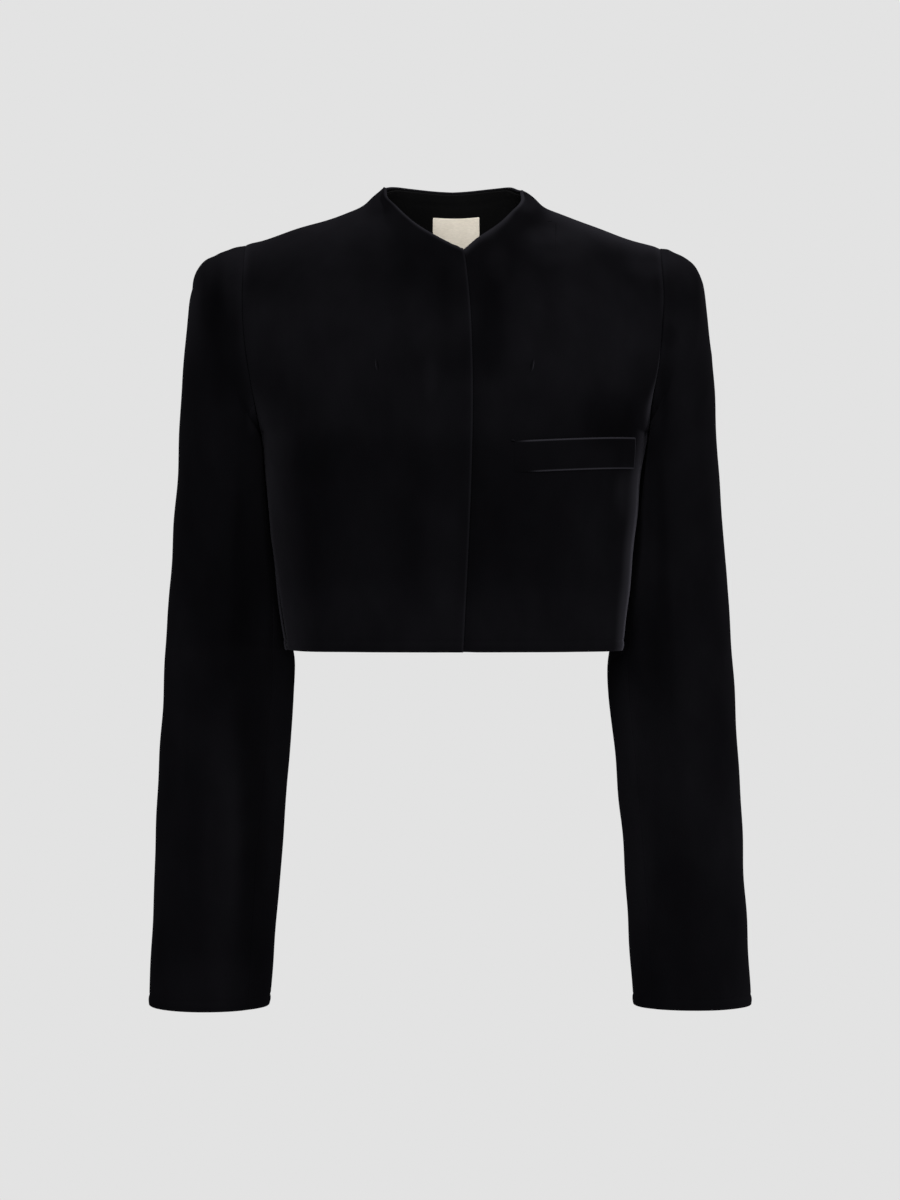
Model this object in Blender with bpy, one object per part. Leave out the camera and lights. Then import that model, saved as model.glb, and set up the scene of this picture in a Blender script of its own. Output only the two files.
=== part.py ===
"""Cropped velvet jacket, hollow and filled out as if worn.

Metres, +Z up. The front faces -Y and the wearer's left is +X. The origin is midway between the two
high shoulder points, at the base of the neck, where a wearer carries the jacket.
Every panel is a thin wall: a grid laid on the garment's form, with a second grid inside it.
"""
import math

import bmesh
import bpy
import numpy as np

# Cloth
WALL = 0.0022
FACING_WALL = 0.0010
LABEL_WALL = 0.0006
SEAM_GAP = 0.0004
SLEEVE_SEAM_GAP = 0.0012
LAID_GAP = 0.0007

# Sides and faces of the body
RIGHT, LEFT = -1, 1
FRONT, BACK = -1, 1

# Levels and the line of the shoulders
HEM_Z = -0.4008
UNDERARM_Z = -0.2070
SHOULDER_X, SHOULDER_Z = 0.1863, -0.0378
SHOULDER_FALL = 0.42
SHOULDER_HOLLOW = 0.524
SEAM_Y = 0.004
BODY_SHIFT = 0.0027

# Neck: the corner where the stand meets the shoulder seam, the point of the V, the centre back
NECK_X, NECK_Z = 0.0620, 0.0125
CROWN_FRONT, CROWN_BACK = 0.0000, 0.0140
CENTRE_BACK_Z = 0.0205
POINT_X, POINT_Z = 0.0069, -0.0463
POINT_RISE, POINT_FLICK, FLICK_POWER = 0.0380, 0.0208, 6
STAND_LIFT, STAND_LIFT_BACK, STAND_REACH = 0.0064, 0.0120, 0.0260

# Front closing: the lapped edge bows out between neck and hem, the underlap runs straight
LAP_X, LAP_BOW, LAP_SKEW = 0.0088, 0.0083, 0.7
UNDERLAP_X, UNDERLAP_FADE, LAP_CLEARANCE = 0.0220, 0.0140, 0.0016

# Armhole and the way the body closes over the shoulders
ARMHOLE_FRONT, ARMHOLE_BACK, ARMHOLE_ROUND = 0.0580, 0.0620, 0.0850
SQUARENESS, EDGE_POWER = 2.4, 14
OPENING_BELOW, OPENING_ABOVE = 0.0600, 0.1100
ARCH_DROP, ARCH_DROP_FRONT, ARCH_DROP_BACK = 0.1050, 0.1650, 0.1200
ARCH_POWER, ARCH_ROUND_FRONT, ARCH_ROUND_BACK = 1.7, 1.6, 1.9

# Body sections from the hem up: level, half width, depth of the front, depth of the back
BODY_COLUMNS = ("z", "half_width", "front", "back")
BODY_SECTIONS = (
    (HEM_Z, 0.1520, 0.1040, 0.0950),
    (-0.3294, 0.1605, 0.1095, 0.0960),
    (-0.2817, 0.1652, 0.1140, 0.0990),
    (-0.2295, 0.1696, 0.1180, 0.1040),
    (-0.1773, 0.1766, 0.1185, 0.1085),
    (-0.1305, 0.1836, 0.1150, 0.1100),
    (-0.0850, 0.1870, 0.1070, 0.1090),
    (SHOULDER_Z, SHOULDER_X, 0.0960, 0.1030),
    (0.0300, SHOULDER_X, 0.0800, 0.0900),
)

# Sleeve sections from the upper arm down: level, outer and inner reach, centre, half depth
UPPER_ARM_Z, CUFF_Z = -0.2600, -0.7236
SLEEVE_COLUMNS = ("z", "outer", "inner", "centre", "depth")
SLEEVE_SECTIONS = (
    (CUFF_Z, 0.2740, 0.1657, 0.0340, 0.0450),
    (-0.6290, 0.2695, 0.1592, 0.0370, 0.0465),
    (-0.5380, 0.2650, 0.1529, 0.0390, 0.0480),
    (-0.4000, 0.2570, 0.1405, 0.0360, 0.0520),
    (UPPER_ARM_Z, 0.2478, 0.1310, 0.0200, 0.0580),
)

# Sleeve head: how far each strand leaves the armhole and meets the arm, at its top and underneath
HEAD_OUT_TOP, HEAD_OUT_UNDER = 0.0580, 0.0120
HEAD_FALL_TOP, HEAD_FALL_UNDER = 0.16, 0.90
HEAD_DOWN_TOP, HEAD_DOWN_UNDER = 0.1650, 0.0200
HEAD_SPACING = 1.15
BODY_CLEARANCE, CLEARANCE_FADE, PUSH_SOFTNESS = 0.0030, 0.0250, 0.0080

# Pocket welt on the left front, label inside the back neck
WELT_INNER_X, WELT_OUTER_X = 0.0520, 0.1600
WELT_TOP_Z, WELT_RISE, WELT_HEIGHT = -0.2180, 0.0060, 0.0278
LABEL_X, LABEL_WIDTH, LABEL_TOP_Z, LABEL_HEIGHT = 0.0038, 0.0425, -0.0022, 0.0316

# Grid steps
NECK_STEPS, SHOULDER_STEPS = 6, 9
SIDE_STEPS, ARMHOLE_STEPS = 7, 12
HEAD_STEPS, ARM_STEPS = 9, 10
FRONT_SEAM_STEP, BACK_SEAM_STEP = 3, 6
WELT_ROWS, FACING_ROWS = 3, 5
SLOPE_STEP, SHORTEST = 1e-6, 1e-12
STEP_MARGIN = 0.1
SHARP_ANGLE = 50

# Colours and roughness
VELVET_COLOUR, VELVET_ROUGHNESS = (0.006, 0.006, 0.007, 1.0), 0.9
FACING_COLOUR, FACING_ROUGHNESS = (0.005, 0.005, 0.005, 1.0), 0.8
LABEL_COLOUR, LABEL_ROUGHNESS = (0.72, 0.66, 0.56, 1.0), 0.7


def blend(start, end, share):
    """Value between start and end."""
    return start + (end - start) * share


def smooth(share):
    """Soft step from 0 to 1."""
    share = np.clip(share, 0.0, 1.0)
    return share * share * (3.0 - 2.0 * share)


def column(table, names, name, level):
    """Smooth reading of one named column of a section table at the given levels."""
    rows = np.array(table)
    levels = rows[:, 0]
    values = rows[:, names.index(name)]
    slopes = np.gradient(values, levels)
    level = np.asarray(level, dtype=float)
    place = np.clip(np.searchsorted(levels, level) - 1, 0, len(levels) - 2)
    span = levels[place + 1] - levels[place]
    t = (level - levels[place]) / span
    inside = np.clip(t, 0.0, 1.0)
    first = (1 + 2 * inside) * (1 - inside) ** 2 * values[place]
    first = first + inside * (1 - inside) ** 2 * span * slopes[place]
    last = inside ** 2 * (3 - 2 * inside) * values[place + 1]
    last = last + inside ** 2 * (inside - 1) * span * slopes[place + 1]
    past = np.where(t > 1, slopes[place + 1], slopes[place]) * (t - inside) * span
    return first + last + past


def body(name, level):
    return column(BODY_SECTIONS, BODY_COLUMNS, name, level)


def arm(name, level):
    return column(SLEEVE_SECTIONS, SLEEVE_COLUMNS, name, level)


def ridge(face, x):
    """Level of the ridge over the shoulders, carried smoothly across the neck."""
    inside = np.clip(1 - (x / NECK_X) ** 2, 0.0, None)
    beyond = np.clip(np.abs(x) - NECK_X, 0.0, None)
    level = NECK_Z - STAND_LIFT - SHOULDER_FALL * beyond + SHOULDER_HOLLOW * beyond ** 2
    crown = CROWN_FRONT if face == FRONT else CROWN_BACK
    return level + SHOULDER_FALL * NECK_X / 2 * inside + crown * inside ** 2


def top_edge(face, side, x):
    """Neck edge and shoulder seam over x: level before the stand lifts it, and the lift."""
    share = np.clip(np.abs(x) / NECK_X, 0.0, 1.0)
    if face == FRONT:
        along = np.clip((x - side * POINT_X) / (NECK_X - side * POINT_X), 0.0, 1.0)
        neck_z = POINT_Z + POINT_RISE * along + POINT_FLICK * along ** FLICK_POWER
        lift = STAND_LIFT * share ** 2
    else:
        neck_z = blend(CENTRE_BACK_Z, NECK_Z, share ** 5)
        lift = blend(STAND_LIFT_BACK, STAND_LIFT, share ** 5)
    return np.where(x < NECK_X, neck_z - lift, ridge(face, x)), lift


def closing_depth(face, across, z):
    """Depth of the body's section at a level, for each share of its half width.

    Low sections close round the side. Higher ones stay open at the armhole, whose lower edge is round.
    """
    armhole = ARMHOLE_FRONT if face == FRONT else ARMHOLE_BACK
    middle = body("front" if face == FRONT else "back", z)
    inside = np.clip(1 - np.abs(across) ** SQUARENESS, 0.0, 1.0)
    closed = middle * inside ** (1 / SQUARENESS)
    opened = armhole + (middle - armhole) * inside
    rise = np.clip((z - UNDERARM_Z) / ARMHOLE_ROUND, 0.0, 1.0)
    at_edge = np.sqrt(1 - (1 - rise) ** 2)
    within = smooth((z - UNDERARM_Z + OPENING_BELOW) / (OPENING_BELOW + OPENING_ABOVE))
    return face * blend(closed, opened, blend(within, at_edge, np.abs(across) ** EDGE_POWER))


def body_point(face, side, across, height):
    """Point on the body: across is a share of the half width, height a share from hem to top edge."""
    across = np.clip(across, -1.0, 1.0)
    top_x = across * SHOULDER_X
    top_z, lift = top_edge(face, side, top_x)
    z = blend(HEM_Z, top_z, np.clip(height, 0.0, 1.0))
    x = across * body("half_width", z)
    drop = blend(ARCH_DROP_FRONT if face == FRONT else ARCH_DROP_BACK, ARCH_DROP, smooth(np.abs(across)))
    arch = np.clip(1 - (ridge(face, top_x) - z) / drop, 0.0, 1.0)
    roundness = ARCH_ROUND_FRONT if face == FRONT else ARCH_ROUND_BACK
    y = blend(SEAM_Y, closing_depth(face, across, z), (1 - arch ** ARCH_POWER) ** (1 / roundness))
    off_neck = np.hypot(np.clip(np.abs(x) - NECK_X, 0.0, None), top_z - z)
    z = z + lift * np.clip(1 - off_neck / STAND_REACH, 0.0, 1.0) ** 2
    return np.stack([side * x + BODY_SHIFT, y, z], axis=-1)


def unit(vectors):
    return vectors / np.maximum(np.linalg.norm(vectors, axis=-1, keepdims=True), SHORTEST)


def body_normal(face, side, across, height):
    """Outward direction of the body's surface, from short steps along it."""
    angle = np.arcsin(np.clip(across, -1.0, 1.0))
    steps = []
    for turn, climb in ((SLOPE_STEP, 0), (-SLOPE_STEP, 0), (0, SLOPE_STEP), (0, -SLOPE_STEP)):
        moved = np.sin(np.clip(angle + turn, -math.pi / 2, math.pi / 2))
        steps.append(body_point(face, side, moved, height + climb))
    normal = np.cross(unit(steps[0] - steps[1]), unit(steps[2] - steps[3]))
    return unit(normal) * (-face * side)


def lap_edge(z):
    """How far the lapped front edge stands past the centre, over its level."""
    down = np.clip((POINT_Z - z) / (POINT_Z - HEM_Z), 0.0, 1.0)
    return LAP_X + LAP_BOW * np.sin(math.pi * down ** LAP_SKEW)


def body_rows():
    """Heights of the grid rows: even to the underarm, then closer at both ends of the armhole."""
    underarm = (UNDERARM_Z - HEM_Z) / (SHOULDER_Z - HEM_Z)
    low = np.linspace(0.0, underarm, SIDE_STEPS + 1)
    turn = np.linspace(0.0, math.pi, ARMHOLE_STEPS + 1)[1:]
    return np.concatenate([low, blend(underarm, 1.0, (1 - np.cos(turn)) / 2)])


def body_columns(start):
    """Shares of the half width for the grid columns, from the start share to the side."""
    corner = NECK_X / SHOULDER_X
    shares = np.sin(np.linspace(0.0, math.pi / 2, NECK_STEPS + 1))
    neck = [blend(start, corner, share) for share in shares]
    angles = np.linspace(math.asin(corner), math.pi / 2, SHOULDER_STEPS + 1)[1:]
    rest = [np.full_like(start, math.sin(angle)) for angle in angles]
    return np.stack(neck + rest)


def seam_inset(outer, inner, edges, gap=SEAM_GAP):
    """Draw the named edges of a grid back by half a seam gap, along the cloth."""
    for place, neighbour in edges:
        step = unit(outer[neighbour] - outer[place]) * gap / 2
        outer[place] = outer[place] + step
        inner[place] = inner[place] + step
    return outer, inner


FIRST_COLUMN, LAST_COLUMN = (0, 1), (-1, -2)
SHOULDER_SEAM = (slice(NECK_STEPS, None), -1), (slice(NECK_STEPS, None), -2)


def body_panel(face, side, across, sink=0.0):
    """Outer and inner grids of one body panel, for the given shares of the half width."""
    height = np.broadcast_to(body_rows(), across.shape)
    normal = body_normal(face, side, across, height)
    outer = body_point(face, side, across, height)
    outer = outer - normal * np.broadcast_to(sink, across.shape)[..., None]
    return outer, outer - normal * WALL


def front_panel(side):
    """The lapping right front, or the left front whose underlap sinks below it."""
    z = blend(HEM_Z, POINT_Z, body_rows())
    half_width = body("half_width", z)
    reach = lap_edge(z) if side == RIGHT else np.full_like(z, UNDERLAP_X)
    across = body_columns(-reach / half_width)
    sink = 0.0
    if side == LEFT:
        below = smooth((lap_edge(z) + UNDERLAP_FADE - across * half_width) / UNDERLAP_FADE)
        sink = (WALL + LAP_CLEARANCE) * below
    outer, inner = body_panel(FRONT, side, across, sink)
    return seam_inset(outer, inner, [LAST_COLUMN, SHOULDER_SEAM])


def back_panel(side):
    """Half of the back, from the centre seam to the side."""
    across = body_columns(np.zeros(SIDE_STEPS + ARMHOLE_STEPS + 1))
    outer, inner = body_panel(BACK, side, across)
    return seam_inset(outer, inner, [FIRST_COLUMN, LAST_COLUMN, SHOULDER_SEAM])


def armhole_ring(side):
    """Armhole points, from the shoulder down the front to the underarm and up the back."""
    height = body_rows()[SIDE_STEPS:]
    front = body_point(FRONT, side, np.ones_like(height), height)
    back = body_point(BACK, side, np.ones_like(height), height)
    return np.concatenate([front[::-1], back[1:-1]])


def ring_angles(ring):
    """Angle of each armhole point about its middle, 0 at the shoulder and growing to the front."""
    middle_y = (ARMHOLE_BACK - ARMHOLE_FRONT) / 2
    middle_z = (SHOULDER_Z + UNDERARM_Z) / 2
    forward = (middle_y - ring[:, 1]) / (ARMHOLE_FRONT + ARMHOLE_BACK) * 2
    upward = (ring[:, 2] - middle_z) / (SHOULDER_Z - UNDERARM_Z) * 2
    return np.arctan2(forward, upward)


def arm_point(side, angle, z):
    """Point on the hanging sleeve at a level, at an angle from its outer line to the front."""
    outer, inner = arm("outer", z), arm("inner", z)
    x = (outer + inner) / 2 + (outer - inner) / 2 * np.cos(angle)
    y = arm("centre", z) - arm("depth", z) * np.sin(angle)
    return np.stack([side * x, y, np.broadcast_to(z, x.shape)], axis=-1)


def clear_of_body(side, points):
    """Push sleeve points out to just clear of the side of the body, between underarm and hem."""
    x = side * (points[..., 0] - BODY_SHIFT)
    y, z = points[..., 1], points[..., 2]
    below_hem = np.clip(HEM_Z - z, 0.0, None)
    middle = np.where(y < 0, body("front", z), body("back", z))
    filled = np.clip(1 - np.clip(np.abs(y) / middle, 0.0, 1.0) ** SQUARENESS, 0.0, 1.0)
    wall = body("half_width", np.maximum(z, HEM_Z)) * filled ** (1 / SQUARENESS)
    fade = smooth((UNDERARM_Z - z) / CLEARANCE_FADE)
    limit = blend(body("half_width", z), wall + BODY_CLEARANCE, fade) - below_hem
    over = (limit - x + np.hypot(limit - x, PUSH_SOFTNESS)) / 2
    moved = points.copy()
    moved[..., 0] = points[..., 0] + side * over
    return moved


def sleeve_grid(side):
    """Whole sleeve: strands from the armhole over the sleeve head, then down to the cuff."""
    ring = armhole_ring(side)
    angle = ring_angles(ring)
    upness = ((1 + np.cos(angle)) / 2)[:, None]
    outward = np.array([side, 0.0, 0.0])
    down = np.array([0.0, 0.0, -1.0])
    leave = outward + down * blend(HEAD_FALL_UNDER, HEAD_FALL_TOP, upness)
    begin = ring + outward * SEAM_GAP
    leaving = begin + leave * blend(HEAD_OUT_UNDER, HEAD_OUT_TOP, upness)
    arriving_z = UPPER_ARM_Z + blend(HEAD_DOWN_UNDER, HEAD_DOWN_TOP, upness[:, 0])
    arriving = arm_point(side, angle, arriving_z)
    end = arm_point(side, angle, np.full_like(angle, UPPER_ARM_Z))
    rows = []
    for t in np.linspace(0.0, 1.0, HEAD_STEPS + 1) ** HEAD_SPACING:
        rows.append((1 - t) ** 3 * begin + 3 * t * (1 - t) ** 2 * leaving
                    + 3 * t * t * (1 - t) * arriving + t ** 3 * end)
    for z in np.linspace(UPPER_ARM_Z, CUFF_Z, ARM_STEPS + 1)[1:]:
        rows.append(arm_point(side, angle, np.full_like(angle, z)))
    grid = clear_of_body(side, np.stack(rows, axis=1))
    grid[:, 0] = begin
    return grid


def sleeve_walls(side):
    """Outer and inner grids of the whole sleeve. At the armhole the wall lies in the seam's plane."""
    outer = sleeve_grid(side)
    around = np.roll(outer, -1, axis=0) - np.roll(outer, 1, axis=0)
    along = np.gradient(outer, axis=1)
    normal = unit(np.cross(around, along)) * side
    middle = np.array([0.0, (ARMHOLE_BACK - ARMHOLE_FRONT) / 2, (SHOULDER_Z + UNDERARM_Z) / 2])
    radial = outer[:, 0] - middle
    radial[:, 0] = 0.0
    normal[:, 0] = unit(radial)
    return outer, outer - normal * WALL


def sleeve_piece(side, upper):
    """Top or under piece of a two-piece sleeve, split at the front and back seams."""
    outer, inner = sleeve_walls(side)
    count = len(outer)
    front_seam = ARMHOLE_STEPS - FRONT_SEAM_STEP
    back_seam = ARMHOLE_STEPS + BACK_SEAM_STEP
    if upper:
        picks = np.arange(back_seam, front_seam + count + 1) % count
    else:
        picks = np.arange(front_seam, back_seam + 1)
    return seam_inset(outer[picks], inner[picks], [FIRST_COLUMN, LAST_COLUMN], SLEEVE_SEAM_GAP)


def between_points(grid, column_place, row_place):
    """Points of a grid read between its columns and rows."""
    i = np.clip(np.floor(column_place).astype(int), 0, grid.shape[0] - 2)
    j = np.clip(np.floor(row_place).astype(int), 0, grid.shape[1] - 2)
    u = (column_place - i)[..., None]
    v = (row_place - j)[..., None]
    low = blend(grid[i, j], grid[i + 1, j], u)
    high = blend(grid[i, j + 1], grid[i + 1, j + 1], u)
    return blend(low, high, v)


def laid_on(panel, column_place, row_place, wall):
    """Outer and inner grids of a piece on the outside of a panel, made from the panel's points."""
    outer = between_points(panel[0], column_place, row_place)
    out = unit(outer - between_points(panel[1], column_place, row_place))
    return outer + out * (LAID_GAP + wall), outer + out * LAID_GAP


def laid_inside(panel, column_place, row_place, wall):
    """The same on the inside of a panel."""
    inner = between_points(panel[1], column_place, row_place)
    out = unit(between_points(panel[0], column_place, row_place) - inner)
    return inner - out * LAID_GAP, inner - out * (LAID_GAP + wall)


def places_within(first, last):
    """Whole steps between two places, with the two places themselves."""
    inside = np.arange(math.ceil(first + STEP_MARGIN), math.floor(last - STEP_MARGIN) + 1)
    return np.concatenate([[first], inside, [last]])


def panel_place(face, side, start, x, z):
    """Column and row place on a body panel of a point given by x and level."""
    across = x / body("half_width", z)
    columns = body_columns(np.array([start / body("half_width", z)]))[:, 0]
    top_z = top_edge(face, side, across * SHOULDER_X)[0]
    height = (z - HEM_Z) / (top_z - HEM_Z)
    column_place = np.interp(across, columns, np.arange(len(columns)))
    return column_place, np.interp(height, body_rows(), np.arange(SIDE_STEPS + ARMHOLE_STEPS + 1))


def welt_walls(panel):
    """Broad welt on the left front, with its end near the side slightly higher."""
    inner_place = panel_place(FRONT, LEFT, -UNDERLAP_X, WELT_INNER_X, WELT_TOP_Z)
    outer_place = panel_place(FRONT, LEFT, -UNDERLAP_X, WELT_OUTER_X, WELT_TOP_Z + WELT_RISE)
    inner_foot = panel_place(FRONT, LEFT, -UNDERLAP_X, WELT_INNER_X, WELT_TOP_Z - WELT_HEIGHT)
    outer_foot = panel_place(FRONT, LEFT, -UNDERLAP_X, WELT_OUTER_X,
                             WELT_TOP_Z + WELT_RISE - WELT_HEIGHT)
    columns = places_within(inner_place[0], outer_place[0])
    share = (columns - columns[0]) / (columns[-1] - columns[0])
    top = blend(inner_place[1], outer_place[1], share)
    foot = blend(inner_foot[1], outer_foot[1], share)
    rise = np.linspace(0.0, 1.0, WELT_ROWS + 1)
    rows = blend(foot[:, None], top[:, None], rise[None, :])
    column_grid = np.broadcast_to(columns[:, None], rows.shape)
    return laid_on(panel, column_grid, rows, WALL)


def facing_walls(right_back, left_back):
    """Band inside the back neck, from one shoulder seam round to the other."""
    layers = []
    for right, left in zip(right_back, left_back):
        centre = (right[:1] + left[:1]) / 2
        band = np.concatenate([right[NECK_STEPS:0:-1], centre, left[1:NECK_STEPS + 1]])
        layers.append(band[:, -FACING_ROWS - 1:])
    column_grid, row_grid = np.meshgrid(np.arange(2 * NECK_STEPS + 1.0), np.arange(FACING_ROWS + 1.0),
                                        indexing="ij")
    return laid_inside(layers, column_grid, row_grid, FACING_WALL)


def label_walls(facing):
    """Bare label on the facing, a little to the left of the centre back."""
    middle = [panel_place(BACK, LEFT, 0.0, abs(LABEL_X + half * LABEL_WIDTH), LABEL_TOP_Z)[0]
              for half in (-0.5, 0.5)]
    columns = places_within(NECK_STEPS - middle[0], NECK_STEPS + middle[1])
    last_row = SIDE_STEPS + ARMHOLE_STEPS
    rows = [panel_place(BACK, LEFT, 0.0, LABEL_X, LABEL_TOP_Z - drop)[1] - last_row + FACING_ROWS
            for drop in (LABEL_HEIGHT, 0.0)]
    column_grid, row_grid = np.meshgrid(columns, places_within(*rows), indexing="ij")
    return laid_inside(facing, column_grid, row_grid, LABEL_WALL)


def make_material(name, colour, roughness):
    material = bpy.data.materials.new(name)
    material.use_nodes = True
    shader = material.node_tree.nodes["Principled BSDF"]
    shader.inputs["Base Color"].default_value = colour
    shader.inputs["Roughness"].default_value = roughness
    shader.inputs["Metallic"].default_value = 0.0
    return material


def make_wall(name, outer, inner, material, collection):
    """Closed thin wall between two matching grids: two sheets joined round their edges."""
    across, along = outer.shape[:2]
    shape = bmesh.new()
    rims = []
    for points in (outer, inner):
        made = bmesh.ops.create_grid(shape, x_segments=across - 1, y_segments=along - 1, size=1.0)
        for vertex in made["verts"]:
            i = round((vertex.co.x + 1) / 2 * (across - 1))
            j = round((vertex.co.y + 1) / 2 * (along - 1))
            vertex.co = points[i, j]
        edges = {edge for vertex in made["verts"] for edge in vertex.link_edges}
        rims += [edge for edge in edges if edge.is_boundary]
    bmesh.ops.bridge_loops(shape, edges=rims)
    bmesh.ops.triangulate(shape, faces=shape.faces, quad_method="SHORT_EDGE")
    bmesh.ops.recalc_face_normals(shape, faces=shape.faces)
    if shape.calc_volume(signed=True) < 0:
        bmesh.ops.reverse_faces(shape, faces=shape.faces)
    mesh = bpy.data.meshes.new(name)
    shape.to_mesh(mesh)
    shape.free()
    mesh.shade_smooth()
    mesh.set_sharp_from_angle(angle=math.radians(SHARP_ANGLE))
    mesh.materials.append(material)
    collection.objects.link(bpy.data.objects.new(name, mesh))


def build_jacket():
    for existing in list(bpy.data.objects):
        bpy.data.objects.remove(existing, do_unlink=True)
    jacket = bpy.data.collections.new("velvet_jacket")
    bpy.context.scene.collection.children.link(jacket)
    velvet = make_material("black velvet", VELVET_COLOUR, VELVET_ROUGHNESS)
    facing = make_material("dark facing", FACING_COLOUR, FACING_ROUGHNESS)
    label = make_material("cream label", LABEL_COLOUR, LABEL_ROUGHNESS)
    for side, word in ((RIGHT, "right"), (LEFT, "left")):
        make_wall("front_" + word, *front_panel(side), velvet, jacket)
        make_wall("back_" + word, *back_panel(side), velvet, jacket)
        make_wall("sleeve_top_" + word, *sleeve_piece(side, True), velvet, jacket)
        make_wall("sleeve_under_" + word, *sleeve_piece(side, False), velvet, jacket)
    neck_facing = facing_walls(back_panel(RIGHT), back_panel(LEFT))
    make_wall("pocket_welt", *welt_walls(front_panel(LEFT)), velvet, jacket)
    make_wall("neck_facing_back", *neck_facing, facing, jacket)
    make_wall("neck_label", *label_walls(neck_facing), label, jacket)


build_jacket()
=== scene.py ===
"""Looks of the cropped velvet jacket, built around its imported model.

Metres, +Z up, in the model's own frame: the front faces -Y and the wearer's left is +X.
Each cloth piece is a fine thin shell on the form of its solid. Seams, turned edges, darts and creases
are sunk into that surface or raised from it.
"""
import math

import bpy
import numpy as np
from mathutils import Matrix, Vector


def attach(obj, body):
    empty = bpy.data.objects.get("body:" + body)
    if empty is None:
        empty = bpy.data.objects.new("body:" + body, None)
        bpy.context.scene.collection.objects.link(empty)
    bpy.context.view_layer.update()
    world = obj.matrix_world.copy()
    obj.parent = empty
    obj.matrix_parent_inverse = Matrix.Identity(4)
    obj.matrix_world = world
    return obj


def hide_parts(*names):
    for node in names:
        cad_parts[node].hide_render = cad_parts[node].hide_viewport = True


# Sides and faces of the body
RIGHT, LEFT = -1, 1
FRONT, BACK = -1, 1

# Cloth
WALL = 0.0022
FACING_WALL = 0.001
LABEL_WALL = 0.0006
SEAM_GAP = 0.0004
LAID_GAP = 0.0007
FREE_MARGIN = WALL / 2
SEAM_LAP = 0.0004
SEWN_MARGIN = WALL / 2 - SEAM_LAP

# Levels and the line of the shoulders
HEM_Z = -0.4008
UNDERARM_Z = -0.207
SHOULDER_X, SHOULDER_Z = 0.1863, -0.0378
SHOULDER_FALL = 0.42
SHOULDER_HOLLOW = 0.524
SEAM_Y = 0.004
BODY_SHIFT = 0.0027

# Neck: the corner where the stand meets the shoulder seam, the point of the V, the centre back
NECK_X, NECK_Z = 0.062, 0.0125
CROWN = {FRONT: 0.0, BACK: 0.014}
CENTRE_BACK_Z, BACK_NECK_POWER = 0.0205, 5
POINT_X, POINT_Z = 0.0069, -0.0463
POINT_RISE, POINT_FLICK, FLICK_POWER = 0.038, 0.0208, 6
STAND_LIFT, STAND_LIFT_BACK, STAND_REACH = 0.0064, 0.012, 0.026

# Front closing: the lapped edge bows out between neck and hem, the underlap runs straight
LAP_X, LAP_BOW, LAP_SKEW = 0.0088, 0.0083, 0.7
UNDERLAP_X, UNDERLAP_FADE, LAP_CLEARANCE = 0.022, 0.014, 0.0016

# Armhole and the way the body closes over the shoulders
ARMHOLE, ARMHOLE_ROUND = {FRONT: 0.058, BACK: 0.062}, 0.085
SQUARENESS, EDGE_POWER = 2.4, 14
OPENING_BELOW, OPENING_ABOVE = 0.06, 0.11
ARCH_DROP, ARCH_DROP_MIDDLE = 0.105, {FRONT: 0.165, BACK: 0.12}
ARCH_POWER, ARCH_ROUND = 1.7, {FRONT: 1.6, BACK: 1.9}

# Body sections from the hem up: level, half width, depth of the front, depth of the back
BODY_COLUMNS = ("z", "half_width", "front", "back")
DEPTH_NAMES = {FRONT: "front", BACK: "back"}
BODY_SECTIONS = (
    (HEM_Z, 0.152, 0.104, 0.095),
    (-0.3294, 0.1605, 0.1095, 0.096),
    (-0.2817, 0.1652, 0.114, 0.099),
    (-0.2295, 0.1696, 0.118, 0.104),
    (-0.1773, 0.1766, 0.1185, 0.1085),
    (-0.1305, 0.1836, 0.115, 0.11),
    (-0.085, 0.187, 0.107, 0.109),
    (SHOULDER_Z, SHOULDER_X, 0.096, 0.103),
    (0.03, SHOULDER_X, 0.08, 0.09),
)

# Sleeve sections from the upper arm down: level, outer and inner reach, centre, half depth
UPPER_ARM_Z, CUFF_Z = -0.26, -0.7236
SLEEVE_COLUMNS = ("z", "outer", "inner", "centre", "depth")
SLEEVE_SECTIONS = (
    (CUFF_Z, 0.274, 0.1657, 0.034, 0.045),
    (-0.629, 0.2695, 0.1592, 0.037, 0.0465),
    (-0.538, 0.265, 0.1529, 0.039, 0.048),
    (-0.4, 0.257, 0.1405, 0.036, 0.052),
    (UPPER_ARM_Z, 0.2478, 0.131, 0.02, 0.058),
)

# Sleeve head: how far each strand leaves the armhole and meets the arm, at its top and underneath
HEAD_OUT_TOP, HEAD_OUT_UNDER = 0.058, 0.012
HEAD_FALL_TOP, HEAD_FALL_UNDER = 0.16, 0.9
HEAD_DOWN_TOP, HEAD_DOWN_UNDER = 0.165, 0.02
HEAD_SPACING = 1.15

# Sleeve beside the body: its inner front lies back, and it stays just clear of the body's side
SET_BACK, SET_BACK_TOP, SET_BACK_FOOT, SET_BACK_FADE = 0.024, -0.16, -0.5, 0.08
UNDERARM_ROOM, UNDERARM_ROOM_REACH = {RIGHT: -0.0012, LEFT: 0.0021}, {RIGHT: 0.04, LEFT: 0.012}
UNDERARM_HUG = 0.05
BODY_CLEARANCE, CLEARANCE_FADE, PUSH_SOFTNESS = {RIGHT: 0.0016, LEFT: 0.003}, 0.025, 0.008

# Places round the armhole, counted from the shoulder down the front and up the back
HALF_ROUND = 12
FRONT_SEAM_PLACE, BACK_SEAM_PLACE = 9, 18

# Long soft folds of the sleeves: angle from the outer line towards the front, spread, depth, reach
FOLD_COLUMNS = ("angle", "spread", "depth", "top", "bottom")
SLEEVE_FOLDS = (
    (118, 26, 0.0035, -0.52, -0.74),
    (62, 30, 0.0022, -0.3, -0.6),
    (-75, 30, 0.003, -0.26, -0.56),
)

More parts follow.
